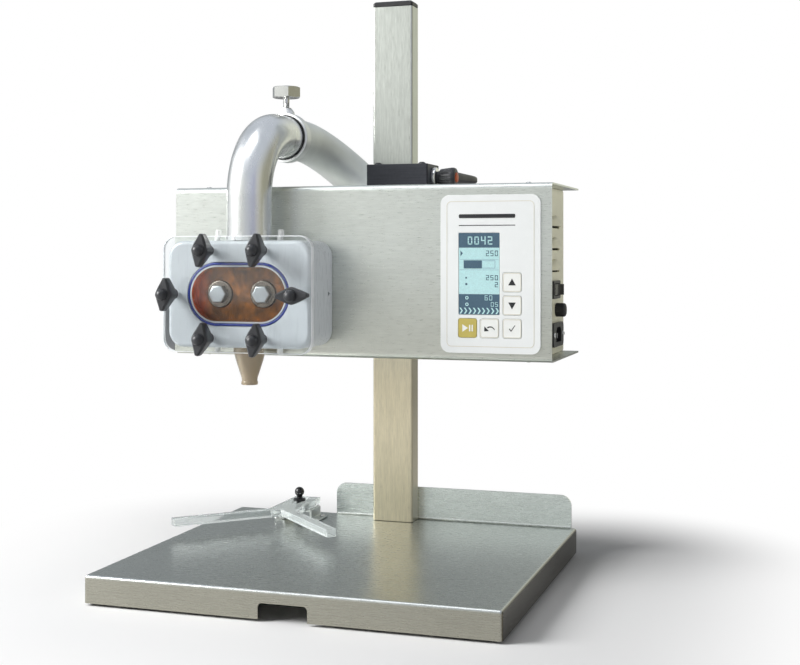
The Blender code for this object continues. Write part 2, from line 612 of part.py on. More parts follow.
def make_keypad():
    """Keypad overlay, LCD window, keys and the control board behind them."""
    thickness = HEAD_FRONT - GAP - PANEL_FRONT
    middle_y = PANEL_FRONT + thickness / 2
    holes = [rounded(KEY_SIZE + 2 * GAP, KEY_SIZE + 2 * GAP, 1.5 * MM, 2,
                     (x - PANEL_X, z - PANEL_Z)) for x, z in KEYS.values()]
    holes.append(rounded(LCD_WIDTH + 2 * GAP, LCD_HEIGHT + 2 * GAP, 1 * MM, 2,
                         (LCD_X - PANEL_X, LCD_Z - PANEL_Z)))
    overlay = plate("keypad_overlay", "XZ", (PANEL_X, middle_y, PANEL_Z),
                    [rounded(PANEL_WIDTH, PANEL_HEIGHT, 8 * MM, 5)] + holes, thickness,
                    WHITE_PLASTIC)
    lcd = plate("lcd_window", "XZ", (LCD_X, middle_y + 0.1 * MM, LCD_Z),
                [rounded(LCD_WIDTH, LCD_HEIGHT, 1 * MM, 2)], thickness - 0.2 * MM, LCD_GLASS)
    keys = []
    travel = 0.4 * MM
    key_back = HEAD_FRONT - GAP - travel
    key_front = PANEL_FRONT - 0.2 * MM
    for name, (x, z) in KEYS.items():
        material = KEY_GOLD if name == "key_start" else WHITE_PLASTIC
        keys.append(plate(name, "XZ", (x, (key_front + key_back) / 2, z),
                          [rounded(KEY_SIZE, KEY_SIZE, 1.5 * MM, 2)], key_back - key_front,
                          material))
    inner = HEAD_FRONT + HEAD_SHEET
    board = box("control_board", (PANEL_X - 40 * MM, inner + 5 * MM, PANEL_Z - 62 * MM),
                (PANEL_X + 36 * MM, inner + 6.6 * MM, PANEL_Z + 62 * MM), BOARD_GREEN)
    display = box("display_module", (LCD_X - 20 * MM, inner + 1 * MM, LCD_Z - 38 * MM),
                  (LCD_X + 20 * MM, inner + 5.5 * MM, LCD_Z + 38 * MM), hidden=True)
    socket = box("board_socket", (PANEL_X - 30 * MM, inner + 6 * MM, PANEL_Z - 55 * MM),
                 (PANEL_X + 5 * MM, inner + 16 * MM, PANEL_Z - 45 * MM), hidden=True)
    join(board, display, socket)
    return [overlay, lcd, board] + keys


def make_power_entry():
    """Rocker switch, fuse cap, mains inlet and the supply inside."""
    face = RIGHT_PANEL_X + GAP
    frame = plate("rocker_frame", "YZ", (face + 1 * MM, ROCKER_Y, ROCKER_Z),
                  [rounded(32 * MM, 16.5 * MM, 1.5 * MM, 3),
                   rounded(25 * MM, 11 * MM, 1 * MM, 2)], 2 * MM, BLACK_PLASTIC)
    sleeve = plate("rocker_sleeve", "YZ", (face - 7 * MM, ROCKER_Y, ROCKER_Z),
                   [rounded(27.4 * MM, 12 * MM, 1 * MM, 2),
                    rounded(25 * MM, 11 * MM, 1 * MM, 2)], 15 * MM, hidden=True)
    join(frame, sleeve)

    section = [(-11.8 * MM, 3.2 * MM), (0, 1.2 * MM), (11.8 * MM, 3.2 * MM),
               (10 * MM, -5 * MM), (-10 * MM, -5 * MM)]
    cosine, sine = math.cos(ROCKER_TILT), math.sin(ROCKER_TILT)
    outline = [(out * cosine + along * sine, along * cosine - out * sine)
               for along, out in section]
    rocker = plate("power_rocker", "XY", (face + 1 * MM, ROCKER_Y, ROCKER_Z), [outline],
                   10 * MM, BLACK_PLASTIC)

    profile = [(0, 9 * MM), (5.3 * MM, 9 * MM), (6.3 * MM, 8 * MM), (6.3 * MM, 0),
               (4.8 * MM, 0), (4.8 * MM, -22 * MM), (0, -22 * MM)]
    fuse = turned("fuse_cap", (face, FUSE_Y, FUSE_Z), (1, 0, 0), profile, BLACK_PLASTIC, 20)

    inlet = plate("power_inlet", "YZ", (face + 1.2 * MM, INLET_Y, INLET_Z),
                  [rounded(48 * MM, 22 * MM, 5 * MM, 4)], 2.4 * MM, BLACK_PLASTIC)
    tub = plate("inlet_body", "YZ", (face - 7 * MM, INLET_Y, INLET_Z),
                [rounded(27.4 * MM, 17 * MM, 2 * MM, 3)], 16 * MM, hidden=True)
    recess = plate("inlet_recess", "YZ", (face - 3.8 * MM, INLET_Y, INLET_Z),
                   [rounded(24 * MM, 13.6 * MM, 3 * MM, 3)], 18 * MM, hidden=True)
    join(inlet, tub)
    cut(inlet, recess)
    for number, (y, z) in enumerate(((-7 * MM, -1.5 * MM), (0, 2 * MM), (7 * MM, -1.5 * MM))):
        join(inlet, box(f"inlet_pin_{number}",
                        (face - 13.5 * MM, INLET_Y + y - 1 * MM, INLET_Z + z - 2.5 * MM),
                        (face - 0.5 * MM, INLET_Y + y + 1 * MM, INLET_Z + z + 2.5 * MM),
                        hidden=True))

    supply = box("power_supply", (135 * MM, 62 * MM, HEAD_BOTTOM + HEAD_SHEET + GAP),
                 (224 * MM, 132 * MM, HEAD_BOTTOM + 40 * MM), BOARD_GREEN)
    return [frame, rocker, fuse, inlet, supply]


# ---------------------------------------------------------------- pump

def make_pump_body():
    """White block with the rotor chamber, ports, bores and screw holes."""
    back = HEAD_FRONT - GAP
    body = plate("pump_body", "XZ", (0, (BODY_FRONT + back) / 2, PUMP_Z),
                 [rounded(BODY_WIDTH, BODY_HEIGHT, BODY_CORNER, 6)], back - BODY_FRONT, MILKY)
    chamber = plate("chamber_cutter", "XZ", (0, BODY_FRONT / 2 + CHAMBER_BACK / 2 - 5 * MM, PUMP_Z),
                    [stadium(ROTOR_SPACING, CHAMBER_RADIUS)],
                    CHAMBER_BACK - BODY_FRONT + 10 * MM, hidden=True)
    groove = plate("groove_cutter", "XZ", (0, BODY_FRONT, PUMP_Z),
                   [stadium(ROTOR_SPACING, CHAMBER_RADIUS + 4.2 * MM),
                    stadium(ROTOR_SPACING, CHAMBER_RADIUS + 1.2 * MM)], 5.6 * MM, hidden=True)
    top, bottom = PUMP_Z + BODY_HEIGHT / 2, PUMP_Z - BODY_HEIGHT / 2
    inlet = rod("inlet_port", (0, PORT_Y, PUMP_Z), (0, PORT_Y, top + 5 * MM), 12 * MM,
                hidden=True)
    outlet = rod("outlet_port", (0, PORT_Y, bottom - 5 * MM), (0, PORT_Y, PUMP_Z), 10 * MM,
                 hidden=True)
    drive = rod("drive_bore", (DRIVE_X, 0, PUMP_Z), (DRIVE_X, back + 5 * MM, PUMP_Z),
                SHAFT_RADIUS + GAP, hidden=True)
    idler = rod("idler_bore", (IDLER_X, 0, PUMP_Z), (IDLER_X, 26.5 * MM, PUMP_Z),
                SHAFT_RADIUS + GAP, hidden=True)
    cut(body, chamber, groove, inlet, outlet, drive, idler)
    for number, (x, z) in enumerate(knob_places()):
        cut(body, rod(f"knob_hole_{number}", (x, BODY_FRONT - 5 * MM, z), (x, 9 * MM, z),
                      3.3 * MM, segments=12, hidden=True))
    for name, x, z, up in plug_places():
        cut(body, rod(name + "_hole", (x, PORT_Y, z - up * 6.5 * MM),
                      (x, PORT_Y, z + up * 5 * MM), 2.4 * MM, segments=10, hidden=True))
    return body


def knob_places():
    """Centres of the six wing knobs, as X and Z."""
    corners = [(x, PUMP_Z + z) for z in (KNOB_Z, -KNOB_Z) for x in (-KNOB_X, KNOB_X)]
    return corners + [(-SIDE_KNOB_X, PUMP_Z), (SIDE_KNOB_X, PUMP_Z)]


def plug_places():
    """Name, X, face height and direction of the four nylon plugs."""
    places = []
    for side, x in (("left", -PLUG_X), ("right", PLUG_X)):
        places.append((f"plug_top_{side}", x, PUMP_Z + BODY_HEIGHT / 2, 1))
        places.append((f"plug_bottom_{side}", x, PUMP_Z - BODY_HEIGHT / 2, -1))
    return places


def make_plugs():
    """White nylon plugs in the top and bottom of the pump body."""
    plugs = []
    for name, x, z, up in plug_places():
        tall = (10 if up > 0 else 7) * MM
        profile = [(0, tall), (2.2 * MM, tall), (2.8 * MM, tall - 0.8 * MM), (2.8 * MM, GAP),
                   (2 * MM, GAP), (2 * MM, -6 * MM), (0, -6 * MM)]
        plugs.append(turned(name, (x, PORT_Y, z), (0, 0, up), profile, WHITE_PLASTIC, 10))
    return plugs


def make_chamber_seal():
    """Blue ring in the groove around the chamber."""
    path = stadium(ROTOR_SPACING, CHAMBER_RADIUS + 2.7 * MM, 12)
    points = [(x, BODY_FRONT + 1.3 * MM, PUMP_Z + z) for x, z in path]
    return wire("chamber_seal", points, 1.2 * MM, BLUE_RUBBER, cyclic=True, detail=1)


def make_pump_cover():
    """Clear front plate with six screw holes."""
    back = BODY_FRONT - GAP
    holes = [circle(3.3 * MM, 12, (x, z - PUMP_Z)) for x, z in knob_places()]
    cover = plate("pump_cover", "XZ", (0, (COVER_FRONT + back) / 2, PUMP_Z),
                  [rounded(COVER_WIDTH, COVER_HEIGHT, 12 * MM, 6)] + holes,
                  back - COVER_FRONT, CLEAR)
    return cover


def make_wing_knobs():
    """Six wing knobs on one shared mesh: boss, two wings and a screw."""
    front = COVER_FRONT - GAP
    screw_end = front - 8 * MM
    profile = [(0, 28 * MM), (3.2 * MM, 27 * MM), (5.1 * MM, 24 * MM), (5.3 * MM, 14 * MM),
               (4.4 * MM, 9 * MM), (5.4 * MM, 0), (3 * MM, 0), (3 * MM, screw_end),
               (0, screw_end)]
    first = turned("wing_knob_1", (0, 0, 0), (0, 0, 1), profile, BLACK_PLASTIC, 14)
    wing = [(8.2 * MM, 0), (6.4 * MM, 3.2 * MM), (4.6 * MM, 12.6 * MM), (2.4 * MM, 14.5 * MM)]
    outline = wing + [(-x, y) for x, y in reversed(wing)]
    outline += [(-x, -y) for x, y in wing[1:]] + [(x, -y) for x, y in reversed(wing[1:])]
    shape = plate("wing_shape", "XY", (0, 0, 17.5 * MM), [outline], 7.5 * MM, hidden=True)
    join(first, shape)
    apply_modifiers(first)
    turns = (8, 10, 10, 8, 6, 88)
    knobs = []
    for number, ((x, z), turn) in enumerate(zip(knob_places(), turns), start=1):
        knob = first if number == 1 else add_copy(first, f"wing_knob_{number}")
        knob.location = (x, front, z)
        knob.rotation_euler = (math.pi / 2, math.radians(turn), 0)
        knobs.append(knob)
    return knobs


def add_copy(source, name):
    """Another object on the same mesh."""
    item = bpy.data.objects.new(name, source.data)
    PARTS.objects.link(item)
    return item


def make_shafts():
    """Drive shaft through to the gear, and the shorter idler shaft."""
    nose, shoulder = ROTOR_FRONT - 4 * MM, ROTOR_BACK + GAP
    drive_end = GEAR_BACK + 16 * MM
    shafts = []
    for name, x, end in (("drive_shaft", DRIVE_X, drive_end), ("idler_shaft", IDLER_X, 26 * MM)):
        profile = [(0, end), (SHAFT_RADIUS, end), (SHAFT_RADIUS, shoulder),
                   (STUB_RADIUS, shoulder), (STUB_RADIUS, nose), (0, nose)]
        shafts.append(turned(name, (x, 0, PUMP_Z), (0, 1, 0), profile, POLISHED, 24))
    return shafts


def make_rotors():
    """Two meshing toothed rotors."""
    module = ROTOR_SPACING / ROTOR_TEETH
    rotors = []
    for name, x, turn in (("drive_rotor", DRIVE_X, 180 / ROTOR_TEETH), ("idler_rotor", IDLER_X, 0)):
        outlines = [gear_outline(ROTOR_TEETH, module, 25, 0.7 * MM, 2, turn),
                    circle(STUB_RADIUS + GAP, 16)]
        rotors.append(plate(name, "XZ", (x, (ROTOR_FRONT + ROTOR_BACK) / 2, PUMP_Z), outlines,
                            ROTOR_BACK - ROTOR_FRONT, AMBER))
    return rotors


def make_rotor_nuts():
    """Hexagon cap nuts with a round flange, one on each shaft."""
    nuts = []
    back = ROTOR_FRONT - GAP
    face = back - 3 * MM
    rim = NUT_FLANGE_RADIUS - 0.6 * MM
    for name, x in (("drive_nut", DRIVE_X), ("idler_nut", IDLER_X)):
        flange = turned(name, (x, 0, PUMP_Z), (0, -1, 0),
                        [(0, -face), (rim, -face), (NUT_FLANGE_RADIUS, -face - 0.7 * MM),
                         (NUT_FLANGE_RADIUS, -back), (0, -back)], POLISHED, 20)
        hexagon = rod(name + "_hexagon", (x, face + 0.3 * MM, PUMP_Z),
                      (x, BODY_FRONT + 0.7 * MM, PUMP_Z), NUT_RADIUS, segments=6, hidden=True)
        bore = rod(name + "_bore", (x, back + 4 * MM, PUMP_Z), (x, back - 4.7 * MM, PUMP_Z),
                   STUB_RADIUS + GAP, hidden=True)
        join(flange, hexagon)
        cut(flange, bore)
        nuts.append(flange)
    return nuts


def make_drive():
    """Spur gear on the drive shaft, motor pinion, gear plate and gear motor."""
    depth, middle = GEAR_BACK - GEAR_FRONT, (GEAR_FRONT + GEAR_BACK) / 2
    gear = plate("drive_gear", "XZ", (DRIVE_X, middle, PUMP_Z),
                 [gear_outline(GEAR_TEETH, GEAR_MODULE, 25, 0.35 * MM, 1),
                  circle(SHAFT_RADIUS + GAP, 24)], depth, BRUSHED)
    pinion = plate("motor_pinion", "XZ", (MOTOR_X, middle, PUMP_Z),
                   [gear_outline(PINION_TEETH, GEAR_MODULE, 25, 0.35 * MM, 2,
                                 180 / PINION_TEETH)], depth, BRUSHED)
    shaft = rod("pinion_shaft", (MOTOR_X, middle, PUMP_Z), (MOTOR_X, GEAR_BACK + 9 * MM, PUMP_Z),
                4 * MM, hidden=True)
    join(pinion, shaft)

    front, plate_front = HEAD_FRONT + HEAD_SHEET + GAP, GEAR_BACK + 3 * MM
    sheet = 4 * MM
    low_x, high_x, half_height = -18 * MM, 96 * MM, 40 * MM
    centre_x = (low_x + high_x) / 2
    holes = [circle(SHAFT_RADIUS + GAP, 24, (DRIVE_X - centre_x, 0)),
             circle(6 * MM, 24, (MOTOR_X - centre_x, 0))]
    gear_plate = plate("gear_plate", "XZ", (centre_x, plate_front + sheet / 2, PUMP_Z),
                       [rounded(high_x - low_x, 2 * half_height, 4 * MM, 3)] + holes, sheet,
                       SATIN)
    for number, (x, z) in enumerate(((low_x, 1), (low_x, -1), (high_x, 1), (high_x, -1))):
        inset = 6 * MM if x < centre_x else -6 * MM
        at_z = PUMP_Z + z * (half_height - 6 * MM)
        join(gear_plate, rod(f"post_{number}", (x + inset, front, at_z),
                             (x + inset, plate_front + 1 * MM, at_z), 4 * MM, segments=12,
                             hidden=True))

    motor_front = plate_front + sheet + GAP
    profile = [(22 * MM, -motor_front), (22.5 * MM, -motor_front - 0.5 * MM),
               (22.5 * MM, -motor_front - 50 * MM), (20 * MM, -motor_front - 52 * MM),
               (0, -motor_front - 52 * MM)]
    motor = turned("gear_motor", (MOTOR_X, 0, PUMP_Z), (0, -1, 0),
                   [(0, -motor_front)] + profile, BLACK_PLASTIC, 24)
    cut(motor, rod("motor_bore", (MOTOR_X, motor_front - 5 * MM, PUMP_Z),
                   (MOTOR_X, motor_front + 6 * MM, PUMP_Z), 5 * MM, hidden=True))
    return gear, pinion, gear_plate, motor


def make_nozzle():
    """Tapered outlet with a spigot in the body's lower port."""
    top = PUMP_Z - BODY_HEIGHT / 2 - GAP
    cone_top = PUMP_Z - COVER_HEIGHT / 2 - 2.6 * MM
    outer = [(9.6 * MM, top + 9 * MM), (9.6 * MM, top), (13.6 * MM, top), (13.6 * MM, cone_top),
             (6.8 * MM, 146 * MM), (7.4 * MM, 145 * MM), (7.4 * MM, 142.5 * MM)]
    inner = [(5 * MM, 142.5 * MM), (5 * MM, 146 * MM), (7.8 * MM, cone_top - 2 * MM),
             (7.8 * MM, top + 9 * MM)]
    return turned("nozzle", (0, PORT_Y, 0), (0, 0, 1), outer + inner, CLEAR, 20, ring=True)


# ---------------------------------------------------------------- honey line

def hollow_pipe(name, points, material):
    """Thin-walled pipe along points."""
    curve = bpy.data.curves.new(name, "CURVE")
    curve.dimensions = "3D"
    curve.bevel_depth = PIPE_RADIUS
    curve.bevel_resolution = 6
    spline = curve.splines.new("POLY")
    spline.points.add(len(points) - 1)
    for slot, point in zip(spline.points, points):
        slot.co = (*point, 1)
    pipe = curve_to_part(curve, name, material, (0, 0, 0), (0, 0, 0))
    solidify = pipe.modifiers.new("wall", "SOLIDIFY")
    solidify.thickness = PIPE_WALL
    solidify.offset = -1
    solidify.use_even_offset = True
    return pipe


def make_inlet_elbow():
    """Straight riser from the pump, then a quarter bend to the rear."""
    foot = PUMP_Z + BODY_HEIGHT / 2 + GAP
    points = [(0, 0, foot)]
    for y, z in arc((ELBOW_RADIUS, LINE_Z - ELBOW_RADIUS), ELBOW_RADIUS, 180, 90, 8):
        points.append((0, y, z))
    points.append((0, CLAMP_SCREW_Y - GAP, LINE_Z))
    return hollow_pipe("inlet_elbow", points, POLISHED)


def make_supply_bend():
    """Second bend, which carries the hose, turning back, right and down."""
    across = Vector((math.cos(SUPPLY_TILT), 0, -math.sin(SUPPLY_TILT)))
    start = Vector((0, BEND_START, LINE_Z))
    points = [Vector((0, CLAMP_SCREW_Y + GAP, LINE_Z))]
    for out, along in arc((SUPPLY_RADIUS, 0), SUPPLY_RADIUS, 180, 90, 9):
        points.append(start + across * out + Vector((0, along, 0)))
    end = points[-1] + across * SUPPLY_TAIL
    pipe = hollow_pipe("supply_bend", points + [end], SATIN)
    rim = turned("ferrule_shape", end, across,
                 [(FERRULE_RADIUS, 0), (FERRULE_RADIUS, -2.8 * MM), (PIPE_RADIUS + 1 * MM, -5 * MM),
                  (PIPE_RADIUS - 0.7 * MM, -5 * MM), (PIPE_RADIUS - 0.7 * MM, 0)], hidden=True,
                 ring=True)
    return join(pipe, rim)


def make_joint():
    """Gasket, clamp ring with its screw boss, and the clamp screw."""
    back = -JOINT_Y
    gasket = turned("joint_gasket", (0, 0, LINE_Z), (0, -1, 0),
                    [(RING_OUTER - GAP, back), (RING_OUTER - GAP, back - 1.2 * MM),
                     (RING_INNER, back - 1.2 * MM), (RING_INNER, back)], BLACK_RUBBER, 28,
                    ring=True)
    front = back - 1.2 * MM - GAP
    ring = turned("clamp_ring", (0, 0, LINE_Z), (0, -1, 0),
                  [(RING_OUTER - 0.8 * MM, front), (RING_OUTER, front - 0.8 * MM),
                   (RING_OUTER, -RING_BACK), (RING_INNER, -RING_BACK), (RING_INNER, front)],
                  SATIN, 28, ring=True)
    boss_low, boss_high = RING_INNER + 1.4 * MM, RING_OUTER + 5 * MM
    saddle = [(8.5 * MM, boss_low), (7.5 * MM, RING_OUTER + 1.5 * MM), (4.8 * MM, boss_high),
              (-4.8 * MM, boss_high), (-7.5 * MM, RING_OUTER + 1.5 * MM), (-8.5 * MM, boss_low)]
    boss = plate("boss_shape", "XZ", (0, CLAMP_SCREW_Y, LINE_Z), [saddle], 9.6 * MM, hidden=True)
    screw_hole = rod("clamp_hole", (0, CLAMP_SCREW_Y, LINE_Z + 10 * MM),
                     (0, CLAMP_SCREW_Y, LINE_Z + 40 * MM), 3.3 * MM, hidden=True)
    join(ring, boss)
    cut(ring, screw_hole)

    head = LINE_Z + 38 * MM
    axis = (0, CLAMP_SCREW_Y, 0)
    foot = LINE_Z + RING_INNER
    screw = turned("clamp_screw", axis, (0, 0, 1),
                   [(0, head + 2 * MM), (3 * MM, head + 2 * MM), (3 * MM, foot), (0, foot)],
                   POLISHED, 20)
    hexagon = [(0, head + 10.5 * MM), (14.1 * MM, head + 10.5 * MM), (14.1 * MM, head), (0, head)]
    join(screw, turned("clamp_head", axis, (0, 0, 1), hexagon, steps=6, hidden=True))
    return [gasket, ring, screw]


# ---------------------------------------------------------------- assembly

def assemble():
    """Build every piece and put the moving ones under empties on their axes."""
    make_base_plate()
    make_feet()
    make_column()
    guide, _bracket, knob = make_jar_guide()
    group("jar_guide_slide", (0, 0, GUIDE_TOP), [guide])
    group("jar_guide_knob_axis", (0, GUIDE_KNOB_Y, 0), [knob])

    head = group("head_slide", (COLUMN_X, COLUMN_Y, HEAD_BOTTOM), make_housing_cover())
    for panel in make_end_panels():
        attach(panel, head)

    block, stud, lever, button = make_clamp()
    attach(block, head)
    group("clamp_lever_axis", lever.location, [stud, lever, button], head)

    overlay, lcd, board, *keys = make_keypad()
    frame, rocker, fuse, inlet, supply = make_power_entry()
    body = make_pump_body()
    gear, pinion, gear_plate, motor = make_drive()
    elbow = make_inlet_elbow()
    gasket, ring, screw = make_joint()
    fixed = [overlay, lcd, board, frame, inlet, supply, body, gear_plate, motor, elbow,
             make_chamber_seal(), make_nozzle(), gasket, ring]
    for piece in fixed + keys + make_plugs() + [rocker, fuse, screw]:
        attach(piece, head)

    cover = make_pump_cover()
    cover_slide = group("pump_cover_slide", (0, COVER_FRONT, PUMP_Z), [cover], head)
    for wing_knob in make_wing_knobs():
        attach(wing_knob, cover_slide)

    drive_shaft, idler_shaft = make_shafts()
    drive_rotor, idler_rotor = make_rotors()
    drive_nut, idler_nut = make_rotor_nuts()
    group("drive_axis", (DRIVE_X, 0, PUMP_Z), [drive_shaft, drive_rotor, drive_nut, gear], head)
    group("idler_axis", (IDLER_X, 0, PUMP_Z), [idler_shaft, idler_rotor, idler_nut], head)
    group("motor_axis", (MOTOR_X, 0, PUMP_Z), [pinion], head)
    group("supply_swivel", (0, JOINT_Y, LINE_Z), [make_supply_bend()], head)


assemble()
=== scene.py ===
"""Looks of the bench-top honey filling machine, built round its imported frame.

+Z is up and +Y points away from the operator. Shapes are given in millimetres and
written in metres. Places come from the boxes of the CAD nodes.
"""
import math

import bmesh
import bpy
from mathutils import Matrix, Vector


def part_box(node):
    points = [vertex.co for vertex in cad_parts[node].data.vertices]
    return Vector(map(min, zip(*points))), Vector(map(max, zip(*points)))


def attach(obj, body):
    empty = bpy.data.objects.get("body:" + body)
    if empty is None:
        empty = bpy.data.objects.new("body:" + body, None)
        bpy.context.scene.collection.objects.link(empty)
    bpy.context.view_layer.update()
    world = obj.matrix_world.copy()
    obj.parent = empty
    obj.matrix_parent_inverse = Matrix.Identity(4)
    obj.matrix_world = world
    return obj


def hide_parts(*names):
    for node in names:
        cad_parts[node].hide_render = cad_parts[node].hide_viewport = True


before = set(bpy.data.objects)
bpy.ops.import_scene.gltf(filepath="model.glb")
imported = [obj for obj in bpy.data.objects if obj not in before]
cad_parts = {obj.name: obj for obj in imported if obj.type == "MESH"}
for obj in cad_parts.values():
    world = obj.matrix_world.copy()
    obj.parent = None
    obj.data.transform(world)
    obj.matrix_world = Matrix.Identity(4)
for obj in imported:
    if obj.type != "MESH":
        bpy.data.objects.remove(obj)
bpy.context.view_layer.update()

MM = 0.001
MERGE = 0.01 * MM
HOUSING_BEND = 5
PANEL_CORNER = HOUSING_BEND - 1.3
PIPE_RADIUS, PIPE_WALL = 20, 1.5
OVERLAP = 0.4
X, Y, Z = 0, 1, 2
RIGHT, REAR, UP = (1, 0, 0), (0, 1, 0), (0, 0, 1)
LEFT, FRONT, DOWN = (-1, 0, 0), (0, -1, 0), (0, 0, -1)
SIDES = (-1, 1)


# ---------------------------------------------------------------- materials

def feed(tree, node, inputs):
    """Give inputs of a node values or links."""
    for key, value in inputs.items():
        if isinstance(value, bpy.types.NodeSocket):
            tree.links.new(value, node.inputs[key])
        else:
            node.inputs[key].default_value = value


def add_node(tree, kind, inputs, **settings):
    """Add a shader node with its settings and inputs."""
    node = tree.nodes.new("ShaderNode" + kind)
    for key, value in settings.items():
        setattr(node, key, value)
    feed(tree, node, inputs)
    return node


def opaque(colour):
    """A colour with its alpha, or a link as it is."""
    return colour if isinstance(colour, bpy.types.NodeSocket) else (*colour, 1)


class Recipe:
    """A Principled material with textures in the piece's own coordinates, in metres."""

    def __init__(self, name, colour, roughness, metallic=0.0, **inputs):
        self.material = bpy.data.materials.new(name)
        self.material.use_nodes = True
        self.material.diffuse_color = (*colour, 1)
        self.tree = self.material.node_tree
        self.shader = self.tree.nodes["Principled BSDF"]
        self.colour = colour
        self.set("Base Color", (*colour, 1))
        self.set("Roughness", roughness)
        self.set("Metallic", metallic)
        for key, value in inputs.items():
            self.set(key.replace("_", " "), value)
        self.place = self.add("TexCoord", {}).outputs["Object"]

    def add(self, kind, inputs, **settings):
        """Add a node to the material."""
        return add_node(self.tree, kind, inputs, **settings)

    def set(self, name, value):
        """Give an input of the shader a value or a link."""
        feed(self.tree, self.shader, {name: value})

    def noise(self, scale, detail=3.0, roughness=0.5):
        """Noise with features per metre along X, Y and Z."""
        scale = scale if isinstance(scale, tuple) else (scale,) * 3
        mapping = self.add("Mapping", {"Scale": scale, "Vector": self.place})
        texture = self.add("TexNoise", {"Scale": 1.0, "Detail": detail, "Roughness": roughness,
                                        "Vector": mapping.outputs["Vector"]})
        return texture.outputs["Fac"]

    def along(self, axis, low, high):
        """A smooth share that rises from 0 at low to 1 at high along an axis."""
        split = self.add("SeparateXYZ", {0: self.place})
        return self.spread(split.outputs[axis], low, high, 0.0, 1.0, "SMOOTHSTEP")

    def spread(self, source, low, high, to_low, to_high, kind="LINEAR"):
        """Map a range of values onto another."""
        node = self.add("MapRange", {"Value": source, "From Min": low, "From Max": high,
                                     "To Min": to_low, "To Max": to_high}, interpolation_type=kind)
        return node.outputs["Result"]

    def mix(self, share, first, second):
        """Blend two colours, each a value or a link."""
        colour_a, colour_b, colour_out = 6, 7, 2
        node = self.add("Mix", {"Factor": share, colour_a: opaque(first),
                                colour_b: opaque(second)}, data_type="RGBA")
        return node.outputs[colour_out]

    def tint(self, source, amount, base=None, low=0.3, high=0.7):
        """Make the colour darker and lighter by an amount where the source is low and high."""
        share = self.spread(source, low, high, 0.0, 1.0)
        value = self.spread(share, 0.0, 1.0, 1 - amount, 1 + amount)
        colour = opaque(self.colour if base is None else base)
        return self.add("HueSaturation", {"Value": value, "Color": colour}).outputs["Color"]

    def bump(self, source, depth):
        """Raise the surface by the source times the depth in millimetres."""
        node = self.add("Bump", {"Distance": depth * MM, "Strength": 1.0, "Height": source})
        self.set("Normal", node.outputs["Normal"])

    def finish(self, colour, gloss, rough, grain, depth, gloss_low=0.3):
        """Set an uneven colour, an uneven gloss and a fine grain."""
        self.set("Base Color", colour)
        self.set("Roughness", self.spread(gloss, gloss_low, 0.7, *rough))
        self.bump(grain, depth)
        return self.material

    def swap(self, share, other):
        """Show another shader by a share from 0 to 1."""
        blend = self.add("MixShader", {0: share, 1: self.shader.outputs[0], 2: other.outputs[0]})
        self.tree.links.new(blend.outputs[0], self.tree.nodes["Material Output"].inputs["Surface"])
        return self.material


def brushed(name, colour, grain, roughness=0.28, streak=0.10, cloud=0.05, warm=(), dark=()):
    """Brushed steel: fine streaks along the grain axis over soft patches.

    The last two arguments hold (axis, low, high, colour) for zones of painted reflection and shade
    that blend into another tint: the first below low, the second above high.
    """
    recipe = Recipe(name, colour, roughness, 1.0)
    fine, broad = [1700.0] * 3, [620.0] * 3
    fine[grain], broad[grain] = 110.0, 45.0
    streaks = recipe.noise(tuple(fine), 4.0, 0.6)
    bands = recipe.noise(tuple(broad), 2.0)
    patches = recipe.noise(9.0, 2.0)
    base = colour
    # Painted reflection and shade: zones where the steel takes another tint along an axis.
    for axis, low, high, other in warm:
        base = recipe.mix(recipe.along(axis, low, high), other, base)
    for axis, low, high, other in dark:
        base = recipe.mix(recipe.along(axis, low, high), base, other)
    base = recipe.tint(patches, cloud, base, 0.35, 0.65)
    base = recipe.tint(bands, streak * 0.5, base, 0.35, 0.65)
    return recipe.finish(recipe.tint(streaks, streak, base), streaks,
                         (roughness - 0.05, roughness + 0.07), streaks, 0.012)


def polished(name, colour, roughness=0.13):
    """Polished steel with faint wipe marks."""
    recipe = Recipe(name, colour, roughness, 1.0)
    smears = recipe.noise((60.0, 60.0, 14.0), 4.0, 0.55)
    scratches = recipe.noise((1400.0, 1400.0, 60.0), 2.0)
    return recipe.finish(recipe.tint(smears, 0.04), smears, (roughness - 0.03, roughness + 0.07),
                         scratches, 0.002, 0.35)


def satin(name, colour, roughness=0.3):
    """Bead-blasted steel with a fine even grain."""
    recipe = Recipe(name, colour, roughness, 1.0)
    grain = recipe.noise(1600.0, 2.0)
    patches = recipe.noise(28.0, 3.0)
    return recipe.finish(recipe.tint(patches, 0.07), grain, (roughness - 0.04, roughness + 0.06),
                         grain, 0.012)


def moulded(name, colour, roughness=0.4, peel=0.015, speckle=0.10):
    """Moulded plastic or rubber: fine peel with scuffed, slightly uneven gloss."""
    recipe = Recipe(name, colour, roughness)
    grain = recipe.noise(1500.0, 3.0)
    scuffs = recipe.noise(70.0, 5.0, 0.6)
    base = recipe.tint(grain, speckle * 0.5, recipe.tint(scuffs, speckle))
    return recipe.finish(base, scuffs, (roughness - 0.06, roughness + 0.1), grain, peel)


def enamel(name, colour):
    """Powder coat with orange peel and a slightly chalky variation."""
    recipe = Recipe(name, colour, 0.42, Coat_Weight=0.15)
    peel = recipe.noise(750.0, 3.0)
    shade = recipe.noise(22.0, 3.0)
    return recipe.finish(recipe.tint(shade, 0.05), peel, (0.36, 0.5), peel, 0.03)


def anodised(name, colour):
    """Anodised aluminium: dark, slightly metallic, with machining lines."""
    recipe = Recipe(name, colour, 0.42, 0.55)
    lines = recipe.noise((30.0, 30.0, 900.0), 3.0)
    dust = recipe.noise(400.0, 3.0)
    base = recipe.tint(dust, 0.08, recipe.tint(lines, 0.12))
    return recipe.finish(base, dust, (0.36, 0.5), lines, 0.01)


